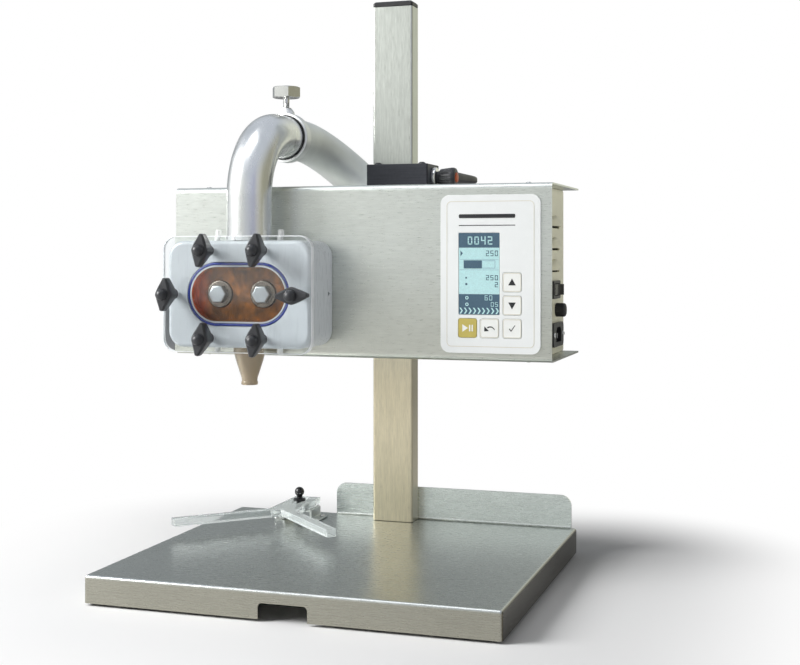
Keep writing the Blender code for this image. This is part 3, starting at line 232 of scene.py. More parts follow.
def milky(name, colour):
    """White engineering plastic that lets light into its surface, with painted shade towards the
    left and painted light towards the right.
    """
    recipe = Recipe(name, colour, 0.30, Subsurface_Weight=0.35, Subsurface_Scale=6 * MM)
    recipe.set("Subsurface Radius", (1.0, 1.0, 1.0))
    swirl = recipe.noise(26.0, 3.0)
    grain = recipe.noise((900.0, 900.0, 60.0), 2.0)
    # Painted light: the colour runs from darker at the left to lighter at the right.
    darker, lighter = (tuple(min(1.0, share * c) for c in colour) for share in (0.93, 1.14))
    base = recipe.mix(recipe.along(X, -0.07, 0.07), darker, lighter)
    return recipe.finish(recipe.tint(swirl, 0.03, base), grain, (0.24, 0.38), grain, 0.01)


def clear(name, colour, roughness=0.03, haze=0.0):
    """Clear plastic. Shadow and diffuse rays pass straight through it."""
    recipe = Recipe(name, colour, roughness, IOR=1.47, Transmission_Weight=1.0 - haze)
    wipes = recipe.noise((240.0, 60.0, 240.0), 4.0, 0.6)
    recipe.set("Roughness", recipe.spread(wipes, 0.4, 0.8, roughness, roughness + 0.05))
    recipe.bump(recipe.noise(90.0, 2.0), 0.004)
    path = recipe.add("LightPath", {}).outputs
    either = recipe.add("Math", {0: path["Is Shadow Ray"], 1: path["Is Diffuse Ray"]},
                        operation="MAXIMUM")
    passing = recipe.add("BsdfTransparent", {"Color": (*[0.5 + c / 2 for c in colour], 1)})
    return recipe.swap(either.outputs[0], passing)


def chamber_amber(name):
    """Mottled amber plastic of the pump chamber's lining, redder towards its left end."""
    recipe = Recipe(name, (0.30, 0.115, 0.035), 0.22, Coat_Weight=0.3)
    left = recipe.along(X, -0.046, -0.026)
    patches = recipe.spread(recipe.noise((95.0, 95.0, 120.0), 5.0, 0.7), 0.35, 0.65, 0.0, 1.0)
    brown = recipe.mix(patches, (0.060, 0.024, 0.004), (0.25, 0.085, 0.010))
    colour = recipe.mix(left, (0.60, 0.085, 0.008), brown)
    streaks = recipe.noise((220.0, 220.0, 90.0), 4.0, 0.6)
    recipe.set("Base Color", recipe.tint(streaks, 0.35, colour, 0.35, 0.65))
    recipe.bump(streaks, 0.05)
    return recipe.material


def display(name, colour, glow):
    """A lit layer of the display, with the faint cell pattern of its glass."""
    recipe = Recipe(name, colour, 0.25)
    lit = recipe.tint(recipe.noise(1100.0, 1.0), 0.06)
    recipe.set("Base Color", lit)
    recipe.set("Emission Color", lit)
    recipe.set("Emission Strength", glow)
    return recipe.material


STEEL = (0.60, 0.62, 0.58)
# Painted shade: the housing's steel turns darker and more olive towards its bottom.
HOUSING_STEEL = brushed("housing_brushed_steel", (0.68, 0.705, 0.665), X, 0.30, 0.05, 0.03,
                        [(Z, 0.17, 0.27, (0.57, 0.58, 0.52))])
PANEL_STEEL = brushed("rear_panel_steel", STEEL, X, 0.32, 0.10)
# Painted reflection: the column's steel takes a warm golden tint towards its foot.
COLUMN_STEEL = brushed("column_brushed_steel", (0.55, 0.57, 0.53), Z, 0.32, 0.11, 0.04,
                       [(Z, 0.12, 0.26, (0.60, 0.54, 0.39))])
# Painted reflection and shade: darker, warmer skirts below the top face, a lighter upstand above it
# and a much darker right skirt.
BASE_STEEL = brushed("base_brushed_steel", (0.59, 0.61, 0.59), X, 0.26, 0.04, 0.03,
                     [(Z, -0.003, -0.0006, (0.36, 0.35, 0.295))],
                     [(Z, 0.0002, 0.003, (0.76, 0.80, 0.77)),
                      (X, 0.2634, 0.2648, (0.085, 0.075, 0.055))])
GEAR_STEEL = brushed("gear_steel", STEEL, Y, 0.30)
POLISHED = polished("polished_steel", (0.80, 0.80, 0.80), 0.17)
ELBOW_STEEL = polished("elbow_steel", (0.81, 0.82, 0.81), 0.25)
BRIGHT = polished("bright_screw_steel", (0.72, 0.72, 0.70), 0.2)
COLLAR_STEEL = satin("collar_steel", (0.84, 0.85, 0.84), 0.45)
SATIN = satin("satin_steel", (0.66, 0.67, 0.65), 0.32)
SUPPLY_STEEL = satin("supply_steel", (0.74, 0.76, 0.74), 0.60)
BRACKET_STEEL = satin("bracket_steel", (0.50, 0.52, 0.50), 0.3)
NUT_STEEL = satin("nut_steel", (0.36, 0.38, 0.39), 0.34)
FLANGE_GREY = satin("flange_grey", (0.17, 0.145, 0.12), 0.28)
CREAM = enamel("cream_enamel", (0.93, 0.90, 0.66))
CHARCOAL = anodised("charcoal_anodised", (0.045, 0.047, 0.056))
MILKY = milky("milky_plastic", (0.56, 0.585, 0.60))
NYLON = milky("white_nylon", (0.82, 0.83, 0.80))
ACRYLIC = clear("clear_acrylic", (0.95, 0.975, 0.985))
ACRYLIC_EDGE = clear("sawn_acrylic_edge", (0.95, 0.97, 0.98), 0.35, 0.65)
GUIDE_CLEAR = clear("guide_acrylic", (0.90, 0.94, 0.93), 0.08, 0.22)
NOZZLE = clear("nozzle_plastic", (0.54, 0.46, 0.34), 0.14, 0.4)
LINER = chamber_amber("chamber_liner_amber")
AMBER = moulded("amber_polyurethane", (0.42, 0.15, 0.035), 0.3)
BLUE_RUBBER = moulded("blue_rubber", (0.014, 0.034, 0.24), 0.4)
BLACK_RUBBER = moulded("black_rubber", (0.02, 0.02, 0.021), 0.65, 0.05)
KNOB_BLACK = moulded("knob_plastic", (0.026, 0.027, 0.03), 0.36, 0.02, 0.2)
BLACK = moulded("black_plastic", (0.012, 0.012, 0.013), 0.42, 0.02, 0.15)
GLOSS_BLACK = moulded("gloss_black_plastic", (0.01, 0.01, 0.011), 0.16, 0.004)
ORANGE = moulded("orange_plastic", (0.72, 0.13, 0.035), 0.35)
OVERLAY = moulded("overlay_film", (0.83, 0.85, 0.84), 0.38, 0.008, 0.012)
KEY_WHITE = moulded("key_film", (0.86, 0.87, 0.84), 0.35, 0.008, 0.012)
KEY_GOLD = moulded("gold_print", (0.52, 0.43, 0.11), 0.38, 0.008, 0.04)
LINE_GOLD = moulded("gold_line", (0.69, 0.66, 0.55), 0.4, 0.004, 0.04)
INK = moulded("black_ink", (0.012, 0.012, 0.014), 0.4, 0.004, 0.1)
BOARD = moulded("board_green", (0.02, 0.13, 0.05), 0.4, 0.02, 0.3)
# Painted shadow: a dark material for the boxes set behind the louvre slits.
PAINTED_VENT_SHADOW = moulded("vent_shadow", (0.012, 0.012, 0.01), 0.8)
LCD_CYAN = display("lcd_cyan", (0.46, 0.70, 0.71), 0.08)
LCD_SLATE = display("lcd_slate", (0.065, 0.12, 0.17), 0.05)
LCD_PALE = display("lcd_pale", (0.30, 0.47, 0.52), 0.06)

SLOTS = {"brushed_steel": (HOUSING_STEEL, PANEL_STEEL, COLUMN_STEEL, BASE_STEEL),
         "polished_steel": (POLISHED, ELBOW_STEEL, BRIGHT, NUT_STEEL, FLANGE_GREY),
         "satin_steel": (COLLAR_STEEL, SATIN, SUPPLY_STEEL, BRACKET_STEEL),
         "cream_enamel": (CREAM,),
         "charcoal_anodised": (CHARCOAL,),
         "milky_plastic": (MILKY,),
         "white_plastic": (NYLON, OVERLAY, KEY_WHITE, KEY_GOLD),
         "clear_acrylic": (ACRYLIC, GUIDE_CLEAR, NOZZLE),
         "amber_polyurethane": (LINER,),
         "blue_rubber": (BLUE_RUBBER,),
         "black_rubber": (BLACK_RUBBER,),
         "black_plastic": (KNOB_BLACK, BLACK, GLOSS_BLACK, INK),
         "orange_plastic": (ORANGE,),
         "gold_print": (LINE_GOLD,),
         "lcd_glass": (LCD_CYAN, LCD_SLATE, LCD_PALE)}
SLOT_OF = {material.name: slot for slot, materials in SLOTS.items() for material in materials}


# ---------------------------------------------------------------- mesh tools

def link(name, data):
    """Put a mesh, curve, light or camera in the scene."""
    item = bpy.data.objects.new(name, data)
    bpy.context.scene.collection.objects.link(item)
    return item


def evaluated(item):
    """A mesh of the item as its modifiers and curve settings make it."""
    bpy.context.view_layer.update()
    graph = bpy.context.evaluated_depsgraph_get()
    return bpy.data.meshes.new_from_object(item.evaluated_get(graph))


def modify(item, kind, **settings):
    """Add a modifier."""
    modifier = item.modifiers.new(kind, kind)
    for key, value in settings.items():
        setattr(modifier, key, value)
    return item


def baked(item):
    """Apply the item's modifiers to its own mesh."""
    mesh = evaluated(item)
    item.modifiers.clear()
    item.data = mesh
    return item


def piece(item, name, body, material, stands_for=None, smooth=35, slot=None):
    """Name a finished shape, shade it, and let it ride on its body."""
    bpy.context.view_layer.update()
    item.data.transform(item.matrix_world)
    item.matrix_world = Matrix.Identity(4)
    item.name = name
    item.data.materials.clear()
    item.data.materials.append(material)
    item.data.shade_smooth()
    item.data.set_sharp_from_angle(angle=math.radians(smooth))
    # Large flat faces keep their own normals, so rounded edges don't shade across them.
    baked(modify(item, "WEIGHTED_NORMAL", keep_sharp=True))
    item.data.name = name
    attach(item, body)
    slot = slot or SLOT_OF.get(material.name)
    if stands_for:
        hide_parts(stands_for)
    return item


def edit(item, work):
    """Write a bmesh back, with its faces pointing out."""
    bmesh.ops.recalc_face_normals(work, faces=work.faces)
    work.to_mesh(item.data)
    work.free()
    return item


def combine(item, other, operation):
    """Boolean with another shape, which is then used up."""
    baked(modify(item, "BOOLEAN", operation=operation, object=other, solver="EXACT"))
    bpy.data.objects.remove(other, do_unlink=True)
    return item


def cut(item, *others):
    """Cut shapes out of the item."""
    for other in others:
        combine(item, other, "DIFFERENCE")
    return item


def join(item, other):
    """Fuse a shape to the item."""
    return combine(item, other, "UNION")


def bevel(item, width, segments=2, angle=40):
    """Round the edges that are sharper than the angle with a modifier."""
    return modify(item, "BEVEL", width=width * MM, segments=segments, limit_method="ANGLE",
                  angle_limit=math.radians(angle))


PLANES = {"XY": (0, 0, 0), "XZ": (math.pi / 2, 0, 0), "YZ": (math.pi / 2, 0, math.pi / 2)}


def plate(plane, at, outlines, thickness, edge=0.0, rounds=2):
    """A flat plate centred on a point, with holes after its outline and its rims rounded."""
    curve = bpy.data.curves.new("plate", "CURVE")
    curve.dimensions = "2D"
    curve.fill_mode = "BOTH"
    curve.extrude = (thickness / 2 - edge) * MM
    curve.bevel_depth = edge * MM
    curve.bevel_resolution = rounds
    curve.offset = -edge * MM
    for points in outlines:
        spline = curve.splines.new("POLY")
        spline.points.add(len(points) - 1)
        for slot, (x, y) in zip(spline.points, points):
            slot.co = (x * MM, y * MM, 0, 1)
        spline.use_cyclic_u = True
    source = link("plate", curve)
    source.rotation_euler = PLANES[plane]
    source.location = Vector(at) * MM
    item = link("shape", evaluated(source))
    item.matrix_world = source.matrix_world.copy()
    bpy.data.objects.remove(source, do_unlink=True)
    work = bmesh.new()
    work.from_mesh(item.data)
    bmesh.ops.remove_doubles(work, verts=work.verts, dist=MERGE)
    bmesh.ops.dissolve_limit(work, angle_limit=math.radians(0.5), verts=work.verts,
                             edges=work.edges)
    return edit(item, work)


def loft(rings, closed=False):
    """A skin over rings of points that all have the same number of points."""
    work = bmesh.new()
    rows = [[work.verts.new(Vector(point) * MM) for point in ring] for ring in rings]
    pairs = list(zip(rows, rows[1:])) + ([(rows[-1], rows[0])] if closed else [])
    count = len(rows[0])
    for low, high in pairs:
        for i in range(count):
            j = (i + 1) % count
            work.faces.new((low[i], low[j], high[j], high[i]))
    if not closed:
        work.faces.new(list(reversed(rows[0])))
        work.faces.new(rows[-1])
    bmesh.ops.remove_doubles(work, verts=work.verts, dist=MERGE)
    return edit(link("loft", bpy.data.meshes.new("loft")), work)


def turned(at, axis, profile, steps=64, ripple=None, ring=False):
    """A turned shape: (radius, height) points, and a ripple(angle, height) on the radius."""
    turn = Vector(axis).to_track_quat("Z", "Y").to_matrix()
    rings = []
    for radius, height in profile:
        points = []
        for i in range(steps):
            angle = 2 * math.pi * i / steps
            reach = radius * (1 + (ripple(angle, height) if ripple else 0))
            local = Vector((reach * math.cos(angle), reach * math.sin(angle), height))
            points.append(turn @ local + Vector(at))
        rings.append(points)
    return loft(rings, closed=ring)


def bore(at, axis, radius, start, end, steps=40):
    """A round cutter along an axis."""
    return turned(at, axis, [(0, start), (radius, start), (radius, end), (0, end)], steps)


def tube(points, radius, steps, wall=0, cyclic=False):
    """A pipe with a wall along points, or a closed round ring."""
    count = len(points)
    path = [Vector(p) for p in points]
    normal = None
    rings, inner = [], []
    for i, point in enumerate(path):
        before = path[i - 1] if i or cyclic else point
        after = path[(i + 1) % count] if i < count - 1 or cyclic else point
        tangent = (after - before).normalized()
        if normal is None:
            normal = tangent.orthogonal().normalized()
        normal = (normal - tangent * normal.dot(tangent)).normalized()
        across = tangent.cross(normal)
        for rows, reach in ((rings, radius), (inner, radius - wall)):
            rows.append([point + reach * (normal * c + across * s) for c, s in circle(1, steps)])
    return loft(rings if cyclic else rings + inner[::-1], closed=True)


def box(low, high):
    """A box between two corners."""
    low, high = Vector(low) * MM, Vector(high) * MM
    work = bmesh.new()
    bmesh.ops.create_cube(work, size=1.0)
    bmesh.ops.scale(work, vec=high - low, verts=work.verts)
    bmesh.ops.translate(work, vec=(low + high) / 2, verts=work.verts)
    return edit(link("box", bpy.data.meshes.new("box")), work)


def folded(low, high, open_sides, radius, sheet, segments=8):
    """A box of folded sheet with open sides and rounded bends."""
    shell = box(low, high)
    work = bmesh.new()
    work.from_mesh(shell.data)
    gone = [f for f in work.faces if any(f.normal.dot(Vector(side)) > 0.5 for side in open_sides)]
    bmesh.ops.delete(work, geom=gone, context="FACES")
    folds = [edge for edge in work.edges if len(edge.link_faces) == 2]
    bmesh.ops.bevel(work, geom=folds, offset=radius * MM, segments=segments, profile=0.5,
                    affect="EDGES")
    work.to_mesh(shell.data)
    work.free()
    return baked(modify(shell, "SOLIDIFY", thickness=sheet * MM, offset=-1, use_even_offset=True))


# ---------------------------------------------------------------- outlines and places

def arc(centre, radius, start, end, steps):
    """Points on an arc, angles in degrees."""
    angles = [math.radians(start + (end - start) * i / steps) for i in range(steps + 1)]
    return [(centre[0] + radius * math.cos(a), centre[1] + radius * math.sin(a)) for a in angles]


def rounded(width, height, radius, steps=8, centre=(0, 0)):
    """A rectangle with rounded corners."""
    x, y = width / 2 - radius, height / 2 - radius
    points = []
    for sx, sy, start in ((1, 1, 0), (-1, 1, 90), (-1, -1, 180), (1, -1, 270)):
        corner = (centre[0] + sx * x, centre[1] + sy * y)
        points += arc(corner, radius, start, start + 90, steps)
    return points


def circle(radius, steps=32, centre=(0, 0)):
    """A round hole or disc, or a hexagon with six steps."""
    return arc(centre, radius, 0, 360 - 360 / steps, steps - 1)


def stadium(spacing, radius, steps=32):
    """Two half circles joined by straight lines."""
    right = arc((spacing / 2, 0), radius, -90, 90, steps)
    return right + arc((-spacing / 2, 0), radius, 90, 270, steps)


def fillet(points, radius, steps=6):
    """Round every corner of a closed outline."""
    out = []
    for i, point in enumerate(points):
        corner = Vector(point)
        before = Vector(points[i - 1]) - corner
        after = Vector(points[(i + 1) % len(points)]) - corner
        half = before.angle(after) / 2
        reach = min(radius / math.tan(half), before.length * 0.49, after.length * 0.49)
        start, end = corner + before.normalized() * reach, corner + after.normalized() * reach
        for k in range(steps + 1):
            t = k / steps
            out.append(tuple(start * (1 - t) ** 2 + corner * 2 * t * (1 - t) + end * t * t))
    return out


def span(node):
    """Low corner, high corner and centre of a CAD node's box, in millimetres."""
    low, high = (Vector(corner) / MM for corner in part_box(node))
    return low, high, (low + high) / 2


def middle(node):
    """Centre of a CAD node's box, in millimetres."""
    return span(node)[2]


def pan_screw(name, at, axis, body, radius=3.2, material=BRIGHT):
    """Pan-head screw with a round socket, standing on a face."""
    tall, socket = radius * 0.55, radius * 0.42
    profile = [(0, tall * 0.35), (socket, tall * 0.35), (socket, tall), (radius * 0.6, tall)]
    profile += [(radius * math.cos(math.radians(a)), tall * (0.3 + 0.7 * math.sin(math.radians(a))))
                for a in (50, 25, 0)]
    screw = turned(at, axis, profile + [(radius, 0), (0, 0)], 24)
    piece(screw, name, body, material, slot="polished_steel")


# ---------------------------------------------------------------- stand

def base_plate():
    """Folded tray, rear upstand with a bend at its foot, and the notch in the front skirt."""
    low, high, centre = span("base_plate")
    sheet, left, right, corner, bead = 2, 25, 260.5, 10, 2.2
    tray = folded(low, (high.x, high.y, 0), [DOWN, REAR], 2.5, sheet)
    outline = [(left, -1.2), (right, -1.2)]
    outline += arc((right - corner, high.z - corner), corner, 0, 90, 12)
    outline += arc((left + corner, high.z - corner), corner, 90, 180, 12)
    upstand = plate("XZ", (0, high.y - sheet / 2, 0), [outline], sheet)
    notch = plate("XZ", (centre.x, low.y, low.z), [rounded(41, 25.2, 3.5)], 12)
    piece(cut(join(tray, upstand), notch), "base_plate_skin", "base", BASE_STEEL, "base_plate", 50)
    crease = [(0, 0)] + arc((-bead, bead), bead, 0, -90, 6)
    bend = loft([[(across, high.y - sheet + y, z) for y, z in crease]
                 for across in (left + 1, right - 1)])
    piece(bend, "upstand_bend", "base", BASE_STEEL)


def feet():
    """Ribbed rubber feet, each with a screw in its recess."""
    for node in (f"foot_{end}_{side}" for end in ("front", "rear") for side in ("left", "right")):
        low, high, centre = span(node)
        radius, recess = (high.x - low.x) / 2, low.z + 4
        profile = [(0, high.z), (radius - 1.5, high.z)]
        for rib in range(9):
            share = rib / 8
            profile.append((radius - 1.2 * (1 - share) - 0.5 * (rib % 2),
                            high.z - 1.5 - (high.z - low.z - 3) * share))
        profile += [(radius - 1.5, low.z), (4, low.z), (3.6, recess), (0, recess)]
        foot = turned((centre.x, centre.y, 0), UP, profile, 48)
        piece(foot, f"{node}_rubber", "base", BLACK_RUBBER, node)
        pan_screw(f"{node}_screw", (centre.x, centre.y, recess), DOWN, "base", 2.6)


def column():
    """Rectangular tube and its chamfered cap."""
    low, high, centre = span("column")
    wide, deep = high.x - low.x, high.y - low.y
    bore_wide, bore_deep = wide - 4, deep - 4
    outlines = [rounded(wide, deep, 1.8), rounded(bore_wide, bore_deep, 0.8, 4)]
    shape = plate("XY", centre, outlines, high.z - low.z, 0.25)
    piece(shape, "column_tube", "base", COLUMN_STEEL, "column")
    low, high, _ = span("column_cap")
    foot, top = high.z - 5, high.z
    rings = []
    for z, inset, radius in ((foot, 0.3, 1.6), (foot + 0.3, 0, 1.8), (top - 1.8, 0, 1.8),
                             (top - 0.5, 1.2, 1.2), (top, 1.9, 1.0)):
        rings.append([(centre.x + x, centre.y + y, z) for x, y in
                      rounded(wide - 2 * inset, deep - 2 * inset, radius, 6)])
    plug = plate("XY", (centre.x, centre.y, (low.z + foot) / 2 + 0.2),
                 [rounded(bore_wide - 0.6, bore_deep - 0.6, 1)], foot - low.z + 0.4)
    piece(join(loft(rings), plug), "column_end_cap", "base", BLACK, "column_cap")


def jar_guide():
    """Clear V plate with polished edges, its folded bracket and the ball knob."""
    low, high, centre = span("jar_guide")
    knob_y = middle("jar_guide_knob").y
    root_two = math.sqrt(2)
    tip, arm, tongue, inner = high.x, 10, 13, 52 * root_two
    outer, step = inner + arm * root_two, arm / root_two
    right = [(tip - step, inner - tip + step), (tip, outer - tip), (tongue, outer - tongue),
             (tongue, high.y)]
    outline = fillet([(0, inner)] + right + [(-x, y) for x, y in reversed(right)], 1.6, 4)
    slot = arc((0, knob_y + 16), 3.5, 0, 180, 12) + arc((0, knob_y - 10), 3.5, 180, 360, 12)
    guide = plate("XY", (0, 0, centre.z), [outline, slot], high.z - low.z, 0.7, 3)
    piece(guide, "jar_guide_plate", "jar_guide", GUIDE_CLEAR, "jar_guide")
    face = high.z + 0.3

    low, high, centre = span("jar_guide_bracket")
    sheet, leg, foot = 2, 15, high.x
    half = [(foot, low.z + sheet), (leg, low.z + sheet), (leg, high.z)]
    inside = [(leg - sheet, high.z - sheet), (leg - sheet, low.z), (foot, low.z)]
    profile = [(-x, z) for x, z in reversed(inside)] + inside + half
    profile += [(-x, z) for x, z in reversed(half)]
    bracket = plate("XZ", (0, centre.y, 0), [fillet(profile, 1.2, 5)], high.y - low.y, 0.2)
    cut(bracket, bore((0, knob_y, high.z - 4), UP, 3.3, 0, 8, 32))
    piece(bracket, "guide_bracket", "base", BRACKET_STEEL, "jar_guide_bracket")
    for side in SIDES:
        for end in SIDES:
            at = (side * (leg + 4), knob_y + end * 12, low.z + sheet)
            pan_screw(f"bracket_screw_{(side + 1) + (end + 1) // 2}", at, UP, "base", 2.4)

    low, high, _ = span("jar_guide_knob")
    ball, collar, stem = 4.6, 6, 3
    profile = [(0, high.z)] + arc((0, high.z - ball), ball, 80, -50, 13)
    profile += [(2.6, face + 3.4), (3.2, face + 2.6), (collar - 0.6, face + 2.2),
                (collar, face + 1.6), (collar, face + 0.3), (collar - 0.3, face),
                (stem, face), (stem, low.z), (0, low.z)]
    knob = turned((0, knob_y, 0), UP, profile, 48)
    piece(knob, "guide_ball_knob", "jar_guide_knob", GLOSS_BLACK, "jar_guide_knob")


# ---------------------------------------------------------------- head housing

def housing():
    """C channel with rounded bends, its rear panel and the screws that hold the panels."""
    low, high, _ = span("housing_cover")
    column_low, column_high, _ = span("column")
    cover = folded(low, high, [RIGHT, LEFT, REAR], HOUSING_BEND, 1.5, 12)
    gap, beyond = 1, 50
    notch = box((column_low.x - gap, column_low.y - gap, low.z - beyond),
                (column_high.x + gap, high.y + 5, high.z + beyond))
    shaft = middle("drive_shaft")
    cut(cover, notch, bore((shaft.x, low.y - 5, shaft.z), REAR, 10, 0, 10, 48))
    piece(cover, "housing_shell", "head", HOUSING_STEEL, "housing_cover", 50)

    left, right = span("left_end_panel")[1].x + 9, span("right_end_panel")[0].x - 9
    spots = [(x, y, z, axis) for x in (left, right) for y in (low.y + 20, high.y - 24)
             for z, axis in ((high.z, UP), (low.z, DOWN))]
    for number, (*at, axis) in enumerate(spots, start=1):
        pan_screw(f"housing_screw_{number}", at, axis, "head", 2.8)

    low, high, centre = span("rear_panel")
    rear = plate("XZ", centre, [rounded(high.x - low.x, high.z - low.z, 1.5, 4)],
                 high.y - low.y, 0.2)
    piece(rear, "rear_cover_plate", "head", PANEL_STEEL, "rear_panel")
    spots = [(x, high.y, z) for x in (low.x + 8, centre.x, high.x - 8)
             for z in (low.z + 8, high.z - 8)]
    for number, at in enumerate(spots, start=1):
        pan_screw(f"rear_screw_{number}", at, REAR, "head", 2.8)


def end_panels():
    """Enamelled end panels, the right one with three pressed louvres."""
    low, high, centre = span("left_end_panel")
    rim = rounded(high.y - low.y, high.z - low.z, PANEL_CORNER, 6)
    left = plate("YZ", centre, [rim], high.x - low.x, 0.3)
    piece(left, "left_end_plate", "head", CREAM, "left_end_panel")

    sheet = 1.5
    inside = span("right_end_panel")[0].x
    centre.x = inside + sheet / 2
    louvre_y, length, louvres = 114, 50, (287, 267, 247)
    rocker_at, inlet_at, fuse_at = (middle(node) - centre for node in
                                    ("rocker_frame", "power_inlet", "fuse_cap"))
    holes = [rounded(length - 8, 4.4, 1.8, 6, (louvre_y - centre.y, z - 2.6 - centre.z))
             for z in louvres]
    holes += [rounded(28, 12.6, 1, 6, rocker_at.yz), rounded(28, 17.6, 2, 6, inlet_at.yz),
              circle(5.3, 32, fuse_at.yz)]
    right = plate("YZ", centre, [rim] + holes, sheet, 0.2)
    piece(right, "right_end_plate", "head", CREAM, "right_end_panel")
    face = inside + sheet
    for number, z in enumerate(louvres, start=1):
        hood = louvre_hood(face, louvre_y, z, length)
        piece(hood, f"louvre_hood_{number}", "head", CREAM)
        # Painted shadow: a dark box inside the panel behind each slit, where there is only shade.
        shadow = box((face - 5, louvre_y - length / 2 + 2, z - 7),
                     (face - 2, louvre_y + length / 2 - 2, z + 4))
        piece(baked(bevel(shadow, 0.4)), f"louvre_painted_shadow_{number}", "head", PAINTED_VENT_SHADOW)


def louvre_hood(face, y, z, length):
    """Pressed hood: a quarter dome over the slit, open underneath, with rounded ends."""
    rise, tall, sheet, thinnest = 4.6, 10, 1.1, 0.05
    steps, around = 28, 10
    rings = []
    for i in range(steps + 1):
        share = -1 + 2 * i / steps
        swell = max(0.0, 1 - abs(share) ** 2.2) ** 0.75
        ring = []
        for shrink, order in ((0, range(around + 1)), (sheet, range(around, -1, -1))):
            for k in order:
                a = math.radians(90 * k / around)
                out = max(thinnest, (rise - shrink) * swell) * math.cos(a)
                up = max(thinnest, (tall - shrink) * swell) * math.sin(a)
                ring.append((face - 0.1 + out, y + share * length / 2, z - 3 + up))
        rings.append(ring)
    return loft(rings)


def column_clamp():
    """Clamp block with its screws, the stud and washer, the indexed lever and its button."""
    low, high, centre = span("clamp_block")
    post, stud_at = middle("column"), middle("clamp_stud")
    outer = rounded(high.x - low.x, high.y - low.y, 1.6, 6)
    hole = rounded(40.6, 20.6, 1.2, 4, (post - centre).xy)
    block = plate("XY", centre, [outer, hole], high.z - low.z, 0.7, 1)
    cut(block, bore((post.x, stud_at.y, stud_at.z), RIGHT, 4.3, 0, 60))
    piece(block, "column_clamp_block", "head", CHARCOAL, "clamp_block")
    for number, x in enumerate((low.x + 9, high.x - 8), start=1):
        pan_screw(f"clamp_block_screw_{number}", (x, low.y + 9, high.z), UP, "head", 3.6,
                  KNOB_BLACK)

    at = Vector((high.x, stud_at.y, stud_at.z))
    start, tip = (corner.x - at.x for corner in span("clamp_stud")[:2])
    profile = [(0, tip), (2.6, tip), (3, tip - 0.5), (3, 4.4), (6, 4.3), (9.4, 3.9), (10, 3.3),
               (10, 2.5), (8.6, 2.3), (8.6, 1.9), (10, 1.7), (10, 0.6), (9.6, 0.3), (4, 0.3),
               (4, start), (0, start)]
    piece(turned(at, RIGHT, profile), "clamp_stud_washer", "clamp_lever", POLISHED, "clamp_stud")
    clamp_lever(at)


def clamp_lever(at):
    """Fluted hub with a tapering arm, bored for the stud and the button."""
    def flutes(angle, height):
        return -0.07 * max(0.0, math.cos(14 * angle)) ** 2 if 8 < height < 19 else 0

    profile = [(0, 23), (7.8, 23), (8.7, 22.5), (9.4, 21), (9.5, 19.5)]
    profile += [(9.5 - 1.2 * (18.5 - h) / 10, h) for h in (18.5, 16, 13.5, 11, 8.5)]
    profile += [(8, 7.6), (6.4, 6.6), (6.2, 4.9), (5.8, 4.5), (0, 4.5)]
    hub = turned(at, RIGHT, profile, 112, flutes)
    start, reach, up = at + Vector((17, 2, 0)), Vector((10, 52, 0)), Vector(UP)
    across = reach.normalized().cross(up)
    rings = []
    for share, radius in ((-0.04, 5.6), (0, 6.4), (0.25, 5.9), (0.5, 5.3), (0.75, 4.7),
                          (0.93, 4.1), (0.98, 3.5), (1.0, 2.2)):
        ring = []
        for c, s in circle(1, 40):
            squared = (abs(c) ** 3 + abs(s) ** 3) ** (-1 / 3)
            ring.append(start + reach * share + squared * radius * (across * c + up * s * 0.93))
        rings.append(ring)
    lever = cut(join(hub, loft(rings)), bore(at, RIGHT, 3.3, 0, 12.5),
                bore(at, RIGHT, 5.3, 17, 34, 48))
    piece(lever, "clamp_lever_grip", "clamp_lever", KNOB_BLACK, "clamp_lever")
    profile = [(0, 24.5), (3.4, 24.4), (4.5, 24), (5, 23.2), (5, 19.8), (4.8, 19.6), (0, 19.6)]
    piece(turned(at, RIGHT, profile, 48), "clamp_release_button", "lever_button", ORANGE,
          "lever_button")


# ---------------------------------------------------------------- controls

def film(plane_y, points, holes=(), thick=0.12):
    """A printed or embossed layer on the front, given in X and Z."""
    return plate("XZ", (0, plane_y - thick / 2, 0), [points, *holes], thick)


def keypad():
    """Overlay with its border line and plain stripe, and the five keys with their signs."""
    low, high, centre = span("keypad_overlay")
    front, wide, tall = low.y, high.x - low.x, high.z - low.z
    at = centre.xz
    keys = ("key_start", "key_back", "key_confirm", "key_down", "key_up")
    lcd_low, lcd_high, lcd = span("lcd_window")
    outlines = [rounded(wide, tall, 8, 12, at)]
    outlines += [rounded(17.1, 17.1, 2.2, 5, middle(key).xz) for key in keys]
    outlines.append(rounded(lcd_high.x - lcd_low.x + 0.6, lcd_high.z - lcd_low.z + 0.6, 1, 4,
                            lcd.xz))
    overlay = plate("XZ", (0, centre.y, 0), outlines, high.y - low.y, 0.25)
    piece(overlay, "keypad_film", "head", OVERLAY, "keypad_overlay")

    outer, inner = 11, 12
    border = film(front, rounded(wide - outer, tall - outer, 4, 8, at),
                  [rounded(wide - inner, tall - inner, 3.6, 8, at)])
    piece(border, "keypad_border_line", "head", LINE_GOLD)
    for number, (drop, thick) in enumerate(((18.5, 3.4), (26.5, 0.7)), start=1):
        stripe = rounded(50, thick, 0.3 * thick, 4, (lcd_low.x + 25, high.z - drop))
        piece(film(front, stripe), f"keypad_stripe_{number}", "head", INK)

    for key in keys:
        low, high, spot = span(key)
        wide = high.x - low.x
        gold = key == "key_start"
        cap = plate("XZ", spot, [rounded(wide, wide, 2, 6)], high.y - low.y, 0.3)
        piece(cap, f"{key}_cap", key, KEY_GOLD if gold else KEY_WHITE, key)
        if not gold:
            rim = film(low.y, rounded(wide - 0.8, wide - 0.8, 1.8, 6, spot.xz),
                       [rounded(wide - 1.7, wide - 1.7, 1.4, 6, spot.xz)])
            piece(rim, f"{key}_rim", key, LINE_GOLD)
        for number, shape in enumerate(key_signs(key), start=1):
            sign = film(low.y, [(spot.x + x, spot.z + z) for x, z in shape])
            piece(sign, f"{key}_sign_{number}", key, KEY_WHITE if gold else INK,
                  slot="black_plastic")


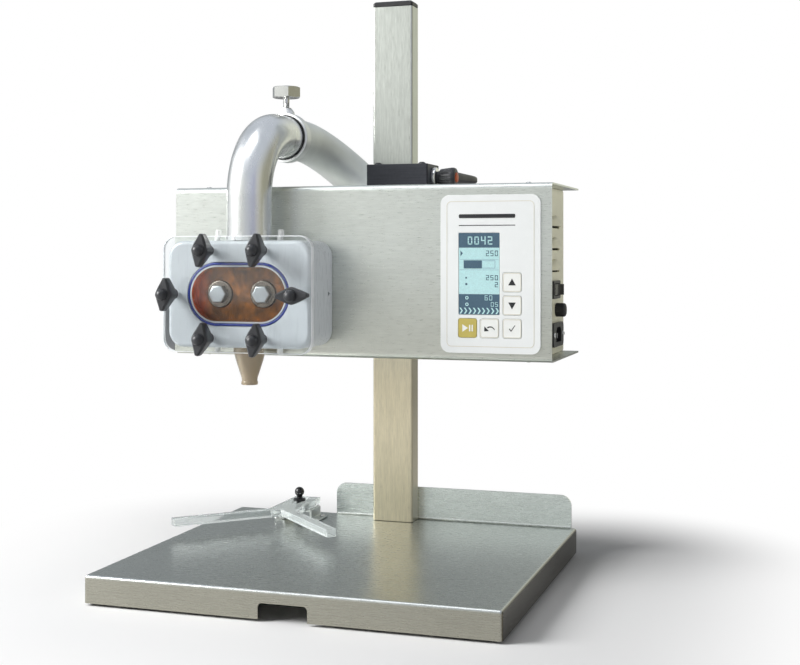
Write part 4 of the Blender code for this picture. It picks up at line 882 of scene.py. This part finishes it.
def key_signs(key):
    """Outlines of a key's sign, from its centre."""
    if key == "key_start":
        bars = [[(x, -2.9), (x + 1.2, -2.9), (x + 1.2, 2.9), (x, 2.9)] for x in (1.4, 3.7)]
        return [[(-4.6, -3.3), (0.5, 0), (-4.6, 3.3)]] + bars
    if key == "key_up":
        return [[(-3.3, -2.6), (3.3, -2.6), (0, 3.2)]]
    if key == "key_down":
        return [[(-3.3, 2.6), (0, -3.2), (3.3, 2.6)]]
    if key == "key_confirm":
        return [[(-2.7, -0.4), (-0.8, -2.6), (3.0, 2.9), (2.5, 3.1), (-0.8, -1.3), (-2.2, 0.2)]]
    hook = arc((0.6, -2.6), 4.4, 20, 128, 10) + arc((0.9, -2.9), 3.7, 128, 20, 10)
    return [hook, [(-4.6, -2.7), (-4.5, 1.7), (-0.5, -2.2)]]


def rectangle(left, low, right, high):
    """Four corners."""
    return [(left, low), (right, low), (right, high), (left, high)]


SEGMENTS = {"0": "abcdef", "2": "abged", "4": "fgbc", "5": "afgcd", "6": "afgcde"}


def digit(character, x, z, wide, tall, stroke):
    """Seven-segment strokes of one digit as outlines, from its lower left corner."""
    half, gap = tall / 2, stroke * 0.12
    bars = {"a": (0, tall - stroke, wide, stroke), "g": (0, half - stroke / 2, wide, stroke),
            "d": (0, 0, wide, stroke), "f": (0, half, stroke, half), "e": (0, 0, stroke, half),
            "b": (wide - stroke, half, stroke, half), "c": (wide - stroke, 0, stroke, half)}
    return [rectangle(x + left + gap, z + low + gap, x + left + across - gap, z + low + up - gap)
            for left, low, across, up in (bars[name] for name in SEGMENTS[character])]


def display_window():
    """Display glass with its bands, numbers, progress bar and row of chevrons."""
    low, high, centre = span("lcd_window")
    wide, tall = high.x - low.x, high.z - low.z
    glass = plate("XZ", centre, [rounded(wide, tall, 0.8, 4)], high.y - low.y, 0.1)
    piece(glass, "display_glass", "head", LCD_CYAN, "lcd_window")
    thick = 0.06

    def show(name, points, material, layer=0, holes=()):
        """Print an outline on the glass, or one layer above it."""
        piece(film(low.y - layer * thick, points, holes, thick), f"display_{name}", "head",
              material)

    def spread(points):
        """Turn shares of the display's width and height into places."""
        return [(low.x + x * wide, low.z + z * tall) for x, z in points]

    for name, corners, material, layer in (
            ("header", (0, 0.82, 1, 1), LCD_SLATE, 0),
            ("footer", (0, 0, 1, 0.25), LCD_SLATE, 0),
            ("bar_frame", (0.12, 0.565, 0.90, 0.665), LCD_PALE, 0),
            ("bar_empty", (0.58, 0.575, 0.885, 0.655), LCD_CYAN, 1),
            ("bar_full", (0.12, 0.565, 0.57, 0.665), LCD_SLATE, 1),
            ("rule_1", (0.02, 0.672, 0.98, 0.678), LCD_PALE, 0),
            ("rule_2", (0.02, 0.545, 0.98, 0.551), LCD_PALE, 0)):
        show(name, spread(rectangle(*corners)), material, layer)
    for name, text, from_right, share, size, layer in (
            ("large", "0042", 6, 0.855, (4.4, 7.4, 1.3), 1),
            ("amount", "250", 1.2, 0.715, (2.9, 5, 0.85), 0),
            ("target", "250", 1.2, 0.42, (2.9, 4.6, 0.85), 0),
            ("count", "2", 1.2, 0.335, (2.9, 4.6, 0.85), 0),
            ("time", "60", 6.2, 0.175, (2.9, 4.4, 0.65), 1),
            ("pause", "05", 1.2, 0.098, (2.7, 4.0, 0.6), 1)):
        strokes = []
        for place, character in enumerate(reversed(text)):
            left = high.x - from_right - size[0] * (1 + 1.35 * place)
            strokes += digit(character, left, low.z + share * tall, *size)
        for number, stroke in enumerate(strokes, start=1):
            show(f"{name}_{number}", stroke, LCD_CYAN if layer else LCD_SLATE, layer)
    show("pointer", spread([(0.04, 0.715), (0.10, 0.75), (0.04, 0.785)]), LCD_SLATE)
    show("dot_1", spread(rectangle(0.16, 0.44, 0.20, 0.46)), LCD_SLATE)
    show("dot_2", spread(rectangle(0.16, 0.36, 0.21, 0.385)), LCD_SLATE)
    for number, share in ((1, 0.205), (2, 0.125)):
        spot, = spread([(0.2, share)])
        show(f"lamp_{number}", circle(1.5, 16, spot), LCD_CYAN, 1, [circle(0.8, 16, spot)])
    count = 9
    chevron = [(0, 0), (0.34, 0), (0.78, 0.5), (0.34, 1), (0, 1), (0.44, 0.5)]
    for i in range(count):
        shape = spread([((i + 0.12 + u) / count, 0.008 + 0.075 * v) for u, v in chevron])
        show(f"chevron_{i + 1}", shape, LCD_CYAN, 1)


def flanged(node, flange, outline, inner, sleeve):
    """A flange on the end panel with a sleeve behind it; returns it with its place."""
    low, high, centre = span(node)
    face = high.x - flange
    shape = plate("YZ", (face + flange / 2, centre.y, centre.z), [outline, *inner], flange, 0.5, 3)
    behind = plate("YZ", ((low.x + face + OVERLAP) / 2, centre.y, centre.z), [sleeve, *inner],
                   face - low.x + OVERLAP)
    return join(shape, behind), face, centre


def power_entry():
    """Rocker switch, fuse cap and mains inlet on the right end panel."""
    low, high, _ = span("rocker_frame")
    bezel, face, centre = flanged(
        "rocker_frame", 2, rounded(high.y - low.y, high.z - low.z, 2, 6),
        [rounded(25, 11, 1, 4)], rounded(27.4, 12, 1, 4))
    piece(bezel, "rocker_bezel", "head", BLACK, "rocker_frame")

    tilt, half = math.radians(9), 11.8
    section = [(half * t, 1.2 + 2.0 * abs(t) ** 1.6) for t in [i / 8 - 1 for i in range(17)]]
    section += [(10, -5), (-10, -5)]
    outline = [(out * math.cos(tilt) + along * math.sin(tilt),
                along * math.cos(tilt) - out * math.sin(tilt)) for along, out in section]
    paddle = plate("XY", (face + 1, centre.y, centre.z), [outline], 10, 0.25)
    piece(paddle, "rocker_paddle", "power_rocker", GLOSS_BLACK, "power_rocker")

    low, high, centre = span("fuse_cap")
    face = high.x - 9

    def flutes(angle, height):
        return -0.06 * max(0.0, math.cos(12 * angle)) if 1 < height < 8 else 0

    profile = [(0, 9), (4.6, 9), (5.5, 8.6), (6.1, 7.9), (6.3, 7), (6.3, 1.5), (6.3, 0.4),
               (6.1, 0), (4.8, 0), (4.8, low.x - face), (0, low.x - face)]
    cap = turned((face, centre.y, centre.z), RIGHT, profile, 96, flutes)
    slot = box((high.x - 1.6, centre.y - 0.8, centre.z - 4.2),
               (high.x + 1, centre.y + 0.8, centre.z + 4.2))
    piece(cut(cap, slot), "fuse_carrier_cap", "fuse_cap", BLACK, "fuse_cap")

    body, face, centre = flanged("power_inlet", 2.4, rounded(48, 22, 5), [],
                                 rounded(27.4, 17, 2, 4))
    mouth = fillet([(-12, -6.8), (12, -6.8), (12, 2.6), (7.8, 6.8), (-7.8, 6.8), (-12, 2.6)],
                   1.6, 5)
    cut(body, plate("YZ", (face - 3.8, centre.y, centre.z), [mouth], 18))
    piece(body, "mains_inlet_body", "head", BLACK, "power_inlet")
    for number, (y, z) in enumerate(((-7, -1.5), (0, 2), (7, -1.5)), start=1):
        blade = plate("YZ", (face - 6, centre.y + y, centre.z + z), [rounded(2, 5, 0.4, 3)], 12,
                      0.3)
        piece(blade, f"inlet_blade_{number}", "head", BRIGHT)
    for number, side in ((1, -20), (3, 20)):
        pan_screw(f"inlet_screw_{number}", (face + 2.4, centre.y + side, centre.z), RIGHT, "head",
                  2.4)


# ---------------------------------------------------------------- pump

CHAMBER_RADIUS = 24
KNOBS = [f"wing_knob_{number}" for number in range(1, 7)]


def pump_body():
    """Milky block with the rotor chamber, seal groove, ports and screw holes."""
    low, high, centre = span("pump_body")
    wide, tall = high.x - low.x, high.z - low.z
    round_front, round_back = 3.6, 1.2
    rings = []
    for a in (math.radians(15 * k) for k in range(7)):
        rings.append((low.y + round_front * (1 - math.cos(a)), round_front * (1 - math.sin(a))))
    for a in (math.radians(90 - 30 * k) for k in range(4)):
        rings.append((high.y - round_back * (1 - math.cos(a)), round_back * (1 - math.sin(a))))
    block = loft([[(x, y, centre.z + z) for x, z in
                   rounded(wide - 2 * inset, tall - 2 * inset, 14 - inset * 0.6, 12)]
                  for y, inset in rings])
    rotor_x = middle("drive_rotor").x
    chamber_front, chamber_back = low.y - 10, span("drive_rotor")[1].y + 0.6
    port_y, set_screw_y = 1, 20
    chamber = plate("XZ", (0, (chamber_front + chamber_back) / 2, centre.z),
                    [stadium(2 * rotor_x, CHAMBER_RADIUS)], chamber_back - chamber_front)
    groove = plate("XZ", (0, low.y, centre.z), [stadium(2 * rotor_x, CHAMBER_RADIUS + 4.2),
                                                stadium(2 * rotor_x, CHAMBER_RADIUS + 1.2)], 5.6)
    cut(block, chamber, groove,
        bore((0, port_y, centre.z), UP, 12, 0, 60),
        bore((0, port_y, centre.z), DOWN, 10, 0, 60),
        bore((rotor_x, 0, centre.z), REAR, 6.3, 0, 40),
        bore((-rotor_x, 0, centre.z), REAR, 6.3, 0, 26.5),
        bore((high.x - 4, set_screw_y, centre.z), RIGHT, 1.9, 0, 10))
    for spot in map(middle, KNOBS):
        cut(block, bore((spot.x, low.y - 5, spot.z), REAR, 3.3, 0, 14 - low.y))
    for side in ("left", "right"):
        x = middle(f"plug_top_{side}").x
        cut(block, bore((x, port_y, high.z - 6.5), UP, 2.4, 0, 12),
            bore((x, port_y, low.z + 6.5), DOWN, 2.4, 0, 12))
    piece(block, "pump_block", "head", MILKY, "pump_body")

    profile = [(0, -0.8), (0.9, -0.8), (0.9, 0.3), (1.6, 0.3), (1.6, -1.5), (0, -1.5)]
    screw = turned((high.x - 2.2, set_screw_y, centre.z), RIGHT, profile, 24)
    piece(screw, "block_set_screw", "head", BLACK)

    path = stadium(2 * rotor_x, CHAMBER_RADIUS + 2.7, 40)
    seal = tube([(x, low.y + 1.3, centre.z + z) for x, z in path], 1.2, 16, cyclic=True)
    piece(seal, "chamber_o_ring", "head", BLUE_RUBBER, "chamber_seal")
    chamber_lining(rotor_x, low.y, centre.z)


def chamber_lining(rotor_x, front, z):
    """Lining on the chamber's wall and in front of the rotors, clear of the nuts."""
    nut_low, nut_high, _ = span("drive_nut")
    nut_radius = (nut_high.x - nut_low.x) / 2 + 0.5
    front, back = front + 0.3, span("drive_rotor")[0].y - 0.4
    rim = stadium(2 * rotor_x, CHAMBER_RADIUS - 0.15)
    holes = [circle(nut_radius, 40, (x, 0)) for x in (-rotor_x, rotor_x)]
    floor = plate("XZ", (0, back - 0.8, z), [rim] + holes, 1.6, 0.2)
    wall = plate("XZ", (0, (front + back) / 2, z),
                 [rim, stadium(2 * rotor_x, CHAMBER_RADIUS - 0.9)], back - front)
    piece(join(floor, wall), "chamber_lining", "head", LINER)


def plugs():
    """White nylon plugs with a collar and a rounded end."""
    for side in ("left", "right"):
        for end, axis, tall in (("top", UP, 10), ("bottom", DOWN, 7)):
            node = f"plug_{end}_{side}"
            low, high, spot = span(node)
            face = high.z - tall if end == "top" else low.z + tall
            profile = [(0, tall), (1.5, tall), (2.3, tall - 0.3), (2.7, tall - 1), (2.7, 1.6),
                       (2.8, 1.3), (2.8, 0.3), (2, 0.3), (2, -6), (0, -6)]
            plug = turned((spot.x, spot.y, face), axis, profile, 32)
            piece(plug, f"{node}_nylon", "head", NYLON, node)


def pump_cover():
    """Clear front plate with polished, rounded edges and six screw holes."""
    low, high, centre = span("pump_cover")
    outline = rounded(high.x - low.x, high.z - low.z, 12, 12)
    cover = plate("XZ", centre, [outline], high.y - low.y, 1.1, 4)
    for spot in map(middle, KNOBS):
        cut(cover, bore((spot.x, low.y - 2, spot.z), REAR, 3.4, 0, 22, 32))
    piece(cover, "pump_front_cover", "pump_cover", ACRYLIC, "pump_cover")
    cover.data.materials.append(ACRYLIC_EDGE)
    for face in cover.data.polygons:
        if abs(face.normal.y) < 0.97:
            face.material_index = 1


def wing_knobs():
    """Wing knobs: a domed boss in front of two pointed, faceted wings."""
    boss = [(0, 28), (1.8, 27.8), (3.4, 27), (4.6, 25.5), (5.1, 23.6), (5.3, 19), (5.2, 13),
            (4.4, 9), (4.4, 4), (4.8, 1.2), (4.8, 0.5), (4.5, 0), (0, 0)]
    base = span("pump_cover")[0].y - 0.3
    for node, turn in zip(KNOBS, (8, 10, 10, 8, 6, 88)):
        _, high, spot = span(node)
        end = high.y - base
        knob = join(turned((0, 0, 0), UP, boss, 48), wing_shape())
        knob.location = Vector((spot.x, base, spot.z)) * MM
        knob.rotation_euler = (math.pi / 2, math.radians(turn), 0)
        piece(knob, f"{node}_grip", node, KNOB_BLACK, node, 40)
        screw = turned((spot.x, base, spot.z), REAR,
                       [(0, 0.05), (3, 0.05), (3, end - 0.6), (2.4, end), (0, end)], 32)
        piece(screw, f"{node}_screw", node, BRIGHT)


def wing_shape():
    """Diamond of two deep wings that narrow towards the cover and towards their tips."""
    half_long, half_wide = 14.5, 7.6
    rings = []
    halves = [0.14, 0.3, 0.5, 0.7, 0.86, 0.96, 1]
    for share in [-size for size in reversed(halves)] + [0] + halves:
        size = abs(share)
        tip = size == 1
        wide = half_wide * (1 - size ** 1.25 * 0.80) * (0.72 if tip else 1)
        front, back = 21.4 - 0.3 * size - tip, 1.2 + 11.5 * size + tip
        edge, narrow = min(1.6, wide * 0.5), wide * 0.62
        half = [(narrow, back), (wide, front - 5), (wide, front - edge), (wide - edge, front)]
        ring = half + [(-x, z) for x, z in reversed(half)]
        rings.append([(x, share * half_long, z) for x, z in ring])
    return loft(rings)


def shaft_nuts():
    """Hexagon nuts on their round flanges."""
    for side in ("drive", "idler"):
        node = f"{side}_nut"
        low, high, spot = span(node)
        back, front, rim, hole = -high.y, -low.y, (high.x - low.x) / 2, 4.3
        top = back + 3
        profile = [(hole, top), (rim - 1.3, top), (rim - 0.4, top - 0.4), (rim, top - 1.2),
                   (rim, back), (hole, back)]
        flange = turned((spot.x, 0, spot.z), FRONT, profile, 64, ring=True)
        piece(flange, f"{node}_flange", f"{side}_train", FLANGE_GREY)
        steps = ((top - 0.2, 8.5), (front - 1.2, 8.5), (front - 0.45, 8.0), (front, 6.9))
        nut = loft([[(spot.x + x, -height, spot.z + z) for x, z in circle(radius, 6)]
                    for height, radius in steps])
        nut = cut(baked(bevel(nut, 0.35, 3, 25)),
                  bore((spot.x, 0, spot.z), FRONT, hole, back - 4, 6))
        piece(nut, f"{node}_hexagon", f"{side}_train", NUT_STEEL, node)


def nozzle():
    """Tapered outlet with a rim at its mouth."""
    low, high, spot = span("nozzle")
    top = high.z - 9
    profile = [(9.6, high.z), (9.6, top), (12.8, top), (13.5, top - 0.5), (13.6, 170),
               (12.2, 164.4), (9.7, 156.4), (7.3, 149), (6.9, 146.4), (7.0, 145.6), (7.4, 145),
               (7.4, 143), (7.0, low.z), (5.3, low.z), (5, 143), (5, 146), (7.8, 167.5),
               (7.8, high.z)]
    shape = turned((spot.x, spot.y, 0), UP, profile, 64, ring=True)
    piece(shape, "pump_nozzle", "head", NOZZLE, "nozzle")


# ---------------------------------------------------------------- honey line

def inlet_elbow():
    """Polished riser and quarter bend."""
    low, high, _ = span("inlet_elbow")
    bend, line_z = 60, high.z - PIPE_RADIUS
    points = [(0, 0, low.z), (0, 0, low.z + 10)]
    points += [(0, y, z) for y, z in arc((bend, line_z - bend), bend, 180, 90, 36)]
    points.append((0, high.y, line_z))
    pipe = tube(points, PIPE_RADIUS, 72, PIPE_WALL)
    piece(pipe, "polished_elbow", "head", ELBOW_STEEL, "inlet_elbow")


def supply_bend():
    """Satin bend to the rear with the hose ferrule at its end."""
    _, elbow_high, _ = span("inlet_elbow")
    bend, line_z, tilt = 65, elbow_high.z - PIPE_RADIUS, math.radians(45)
    across = Vector((math.cos(tilt), 0, -math.sin(tilt)))
    points = [Vector((0, elbow_high.y + 0.6, line_z))]
    for out, along in arc((bend, 0), bend, 180, 90, 30):
        points.append(Vector((0, 121 + along, line_z)) + across * out)
    end = points[-1] + across * 85
    pipe = tube(points + [end], PIPE_RADIUS, 72, PIPE_WALL)
    piece(pipe, "satin_supply_bend", "supply_bend", SUPPLY_STEEL, "supply_bend")
    rim, inner = 25.25, PIPE_RADIUS + 0.1
    profile = [(rim - 0.6, 0), (rim, -0.6), (rim, -2.4), (rim - 0.5, -2.9),
               (PIPE_RADIUS + 1.2, -5), (inner, -5.4), (inner, 0)]
    ferrule = turned(end, across, profile, 72, ring=True)
    piece(ferrule, "hose_ferrule_rim", "supply_bend", SATIN)


def pipe_joint():
    """Gasket, clamp ring with a domed boss, and the hexagon clamp screw."""
    low, high, centre = span("joint_gasket")
    inner, outer = 20.4, 23.5
    profile = [(inner + 0.5, -low.y), (inner + 0.9, -centre.y), (inner + 0.5, -high.y),
               (inner, -high.y), (inner, -low.y)]
    gasket = turned((0, 0, centre.z), FRONT, profile, 72, ring=True)
    piece(gasket, "joint_gasket_ring", "head", BLACK_RUBBER, "joint_gasket")

    low, high, _ = span("clamp_ring")
    screw_low, screw_high, screw = span("clamp_screw")
    profile = [(outer - 0.9, -low.y), (outer - 0.25, -low.y - 0.25), (outer, -low.y - 0.9),
               (outer, -high.y + 0.8), (outer - 0.8, -high.y), (inner, -high.y), (inner, -low.y)]
    ring = turned((0, 0, centre.z), FRONT, profile, 72, ring=True)
    top = high.z - centre.z
    steps = ((inner + 1.4, 8.6, 4.75), (outer + 0.6, 8.0, 4.75), (outer + 2, 7.2, 4.7),
             (outer + 3.6, 6.0, 4.5), (top - 0.4, 5.0, 4.3), (top, 4.5, 3.9))
    boss = loft([[(wide * x, screw.y + deep * y, centre.z + height) for x, y in circle(1, 36)]
                 for height, wide, deep in steps])
    collar = cut(join(ring, boss), bore((0, screw.y, centre.z), UP, 3.3, 10, 40))
    piece(collar, "clamp_collar", "head", COLLAR_STEEL, "clamp_ring")

    tall, foot = 10.5, screw_low.z
    head = screw_high.z - tall
    stem = [(0, foot), (2.6, foot), (3, foot + 0.5)]
    for z in (foot + 1 + k for k in range(12)):
        stem += [(3, z), (2.7, z + 0.5)]
    stem += [(3, foot + 13.2), (3, head - 0.8), (4.2, head - 0.1), (4.2, head + 1), (0, head + 1)]
    shank = turned((0, screw.y, 0), UP, stem, 32)
    bolt = join(shank, hexagon_head(screw.y, head, tall, (screw_high.x - screw_low.x) / 2))
    piece(bolt, "clamp_screw_bolt", "clamp_screw", BRIGHT, "clamp_screw", 30)


def hexagon_head(y, z, tall, radius):
    """Bolt head with its corners turned off at both ends."""
    prism = loft([[(across, y + along, level) for across, along in circle(radius, 6)]
                  for level in (z, z + tall)])
    flat = radius * math.cos(math.radians(30))
    drop, narrow, wide = (radius - flat) * 0.6, flat - 0.3, radius + 0.1
    cone = turned((0, y, z), UP, [(0, 0), (narrow, 0), (wide, drop), (wide, tall - drop),
                                  (narrow, tall), (0, tall)], 72)
    return combine(prism, cone, "INTERSECT")


# ---------------------------------------------------------------- inner pieces

def inner_pieces():
    """Carried CAD nodes: material and a fine rounding of their edges."""
    looks = {"control_board": (BOARD, 0.3), "power_supply": (BOARD, 0.6),
             "gear_motor": (BLACK, 0.4), "gear_plate": (BRACKET_STEEL, 0.4),
             "drive_gear": (GEAR_STEEL, 0.25), "motor_pinion": (GEAR_STEEL, 0.25),
             "drive_shaft": (POLISHED, 0.3), "idler_shaft": (POLISHED, 0.3),
             "drive_rotor": (AMBER, 0.35), "idler_rotor": (AMBER, 0.35)}
    for node, (material, edge) in looks.items():
        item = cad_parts[node]
        item.data.materials.clear()
        item.data.materials.append(material)
        bevel(modify(item, "WELD", merge_threshold=MERGE), edge)


# ---------------------------------------------------------------- stage, in metres

def stage():
    """Pale floor, soft light and a plain studio round the object."""
    work = bmesh.new()
    bmesh.ops.create_grid(work, x_segments=2, y_segments=2, size=6.0)
    mesh = bpy.data.meshes.new("floor")
    work.to_mesh(mesh)
    work.free()
    floor = link("floor", mesh)
    floor.location.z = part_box("foot_front_left")[0].z - 0.2 * MM
    mesh.materials.append(floor_material())

    target = (0.09, 0.02, 0.15)
    for name, at, aim, size, power in (
            ("key_softbox", (-1.45, -0.95, 1.15), target, (0.9, 1.1), 58),
            ("top_softbox", (-0.2, -0.4, 1.9), target, (1.0, 1.0), 5),
            ("side_softbox", (1.5, -0.3, 0.34), (0.25, 0, 0.22), (1.0, 0.6), 3)):
        data = bpy.data.lights.new(name, "AREA")
        data.shape = "RECTANGLE"
        data.size, data.size_y = size
        data.energy = power
        lamp = link(name, data)
        lamp.location = at
        lamp.rotation_euler = (Vector(aim) - Vector(at)).to_track_quat("-Z", "Y").to_euler()
    lamp.visible_glossy = False
    studio()


def floor_material():
    """Near-white floor that fades into the white room away from the object."""
    recipe = Recipe("pale_floor", (0.88, 0.88, 0.88), 0.7)
    recipe.set("Base Color", recipe.tint(recipe.noise(3.0, 2.0), 0.01))
    low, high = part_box("base_plate")
    centre, half = (low + high) / 2, (high - low) / 2
    outside = recipe.place
    for operation, inputs in (("SUBTRACT", {1: (centre.x, centre.y, 0)}), ("ABSOLUTE", {}),
                              ("SUBTRACT", {1: (half.x, half.y, 0)}), ("MAXIMUM", {1: (0, 0, 0)})):
        node = recipe.add("VectorMath", {0: outside, **inputs}, operation=operation)
        outside = node.outputs["Vector"]
    distance = recipe.add("VectorMath", {0: outside}, operation="LENGTH").outputs["Value"]
    far = recipe.spread(distance, 0.04, 0.25, 0.0, 1.0, "SMOOTHSTEP")
    seen = recipe.add("LightPath", {}).outputs["Is Camera Ray"]
    share = recipe.add("Math", {0: far, 1: seen}, operation="MULTIPLY")
    return recipe.swap(share.outputs[0], recipe.add("Emission", {}))


def studio():
    """White behind the object, and a soft grey room for what the metal reflects."""
    world = bpy.data.worlds.new("studio")
    bpy.context.scene.world = world
    world.use_nodes = True
    tree = world.node_tree
    tree.nodes.clear()
    direction = add_node(tree, "TexCoord", {}).outputs["Generated"]
    around = add_node(tree, "TexGradient", {"Vector": direction}, gradient_type="RADIAL")
    ramp = add_node(tree, "ValToRGB", {"Fac": around.outputs["Fac"]})
    ramp.color_ramp.interpolation = "EASE"
    # The angle runs from -X over -Y (0.25), +X (0.5) and +Y (0.75) back to -X.
    stops = [(0.00, (0.95, 0.97, 0.98)), (0.09, (1.05, 1.06, 1.05)), (0.16, (0.92, 0.94, 0.92)),
             (0.205, (0.70, 0.72, 0.70)), (0.28, (0.62, 0.65, 0.70)), (0.33, (0.56, 0.59, 0.69)),
             (0.385, (0.44, 0.46, 0.61)), (0.425, (0.62, 0.62, 0.62)), (0.47, (0.56, 0.55, 0.46)),
             (0.52, (0.36, 0.35, 0.26)), (0.60, (0.34, 0.33, 0.26)), (0.70, (0.84, 0.85, 0.72)),
             (0.80, (0.27, 0.29, 0.29)), (0.92, (0.36, 0.38, 0.40)), (1.00, (0.95, 0.97, 0.98))]
    while len(ramp.color_ramp.elements) < len(stops):
        ramp.color_ramp.elements.new(0.5)
    for element, (place, colour) in zip(ramp.color_ramp.elements, stops):
        element.position = place
        element.color = (*colour, 1)
    level = add_node(tree, "SeparateXYZ", {0: direction}).outputs["Z"]
    height = add_node(tree, "MapRange", {"Value": level, "From Min": 0.30, "From Max": 0.75},
                      interpolation_type="SMOOTHSTEP")
    path = add_node(tree, "LightPath", {}).outputs
    straight = add_node(tree, "Math", {0: path["Is Camera Ray"], 1: path["Is Transmission Ray"]},
                        operation="MAXIMUM")
    colour = ramp.outputs["Color"]
    for share, other in ((height.outputs["Result"], (0.58, 0.62, 0.69, 1)),
                         (path["Is Diffuse Ray"], (0.06, 0.06, 0.064, 1)),
                         (straight.outputs[0], (1.0, 1.0, 1.0, 1))):
        colour = add_node(tree, "MixRGB", {"Fac": share, "Color1": colour,
                                           "Color2": other}).outputs["Color"]
    background = add_node(tree, "Background", {"Color": colour})
    add_node(tree, "OutputWorld", {"Surface": background.outputs[0]})


def camera():
    """Camera at the height of the pump, a little to the right, with the horizon kept level."""
    data = bpy.data.cameras.new("camera")
    data.sensor_width = 36.0
    data.lens = 59.04
    data.shift_y = -0.0999
    item = link("camera", data)
    item.location = (0.4862, -1.0705, 0.260)
    item.rotation_euler = (math.pi / 2, 0, math.radians(17.87))
    bpy.context.scene.camera = item
    bpy.context.scene.view_settings.view_transform = "Standard"


for build in (base_plate, feet, column, jar_guide, housing, end_panels, column_clamp, keypad,
              display_window, power_entry, pump_body, plugs, pump_cover, wing_knobs, shaft_nuts,
              nozzle, inlet_elbow, supply_bend, pipe_joint, inner_pieces, stage, camera):
    build()
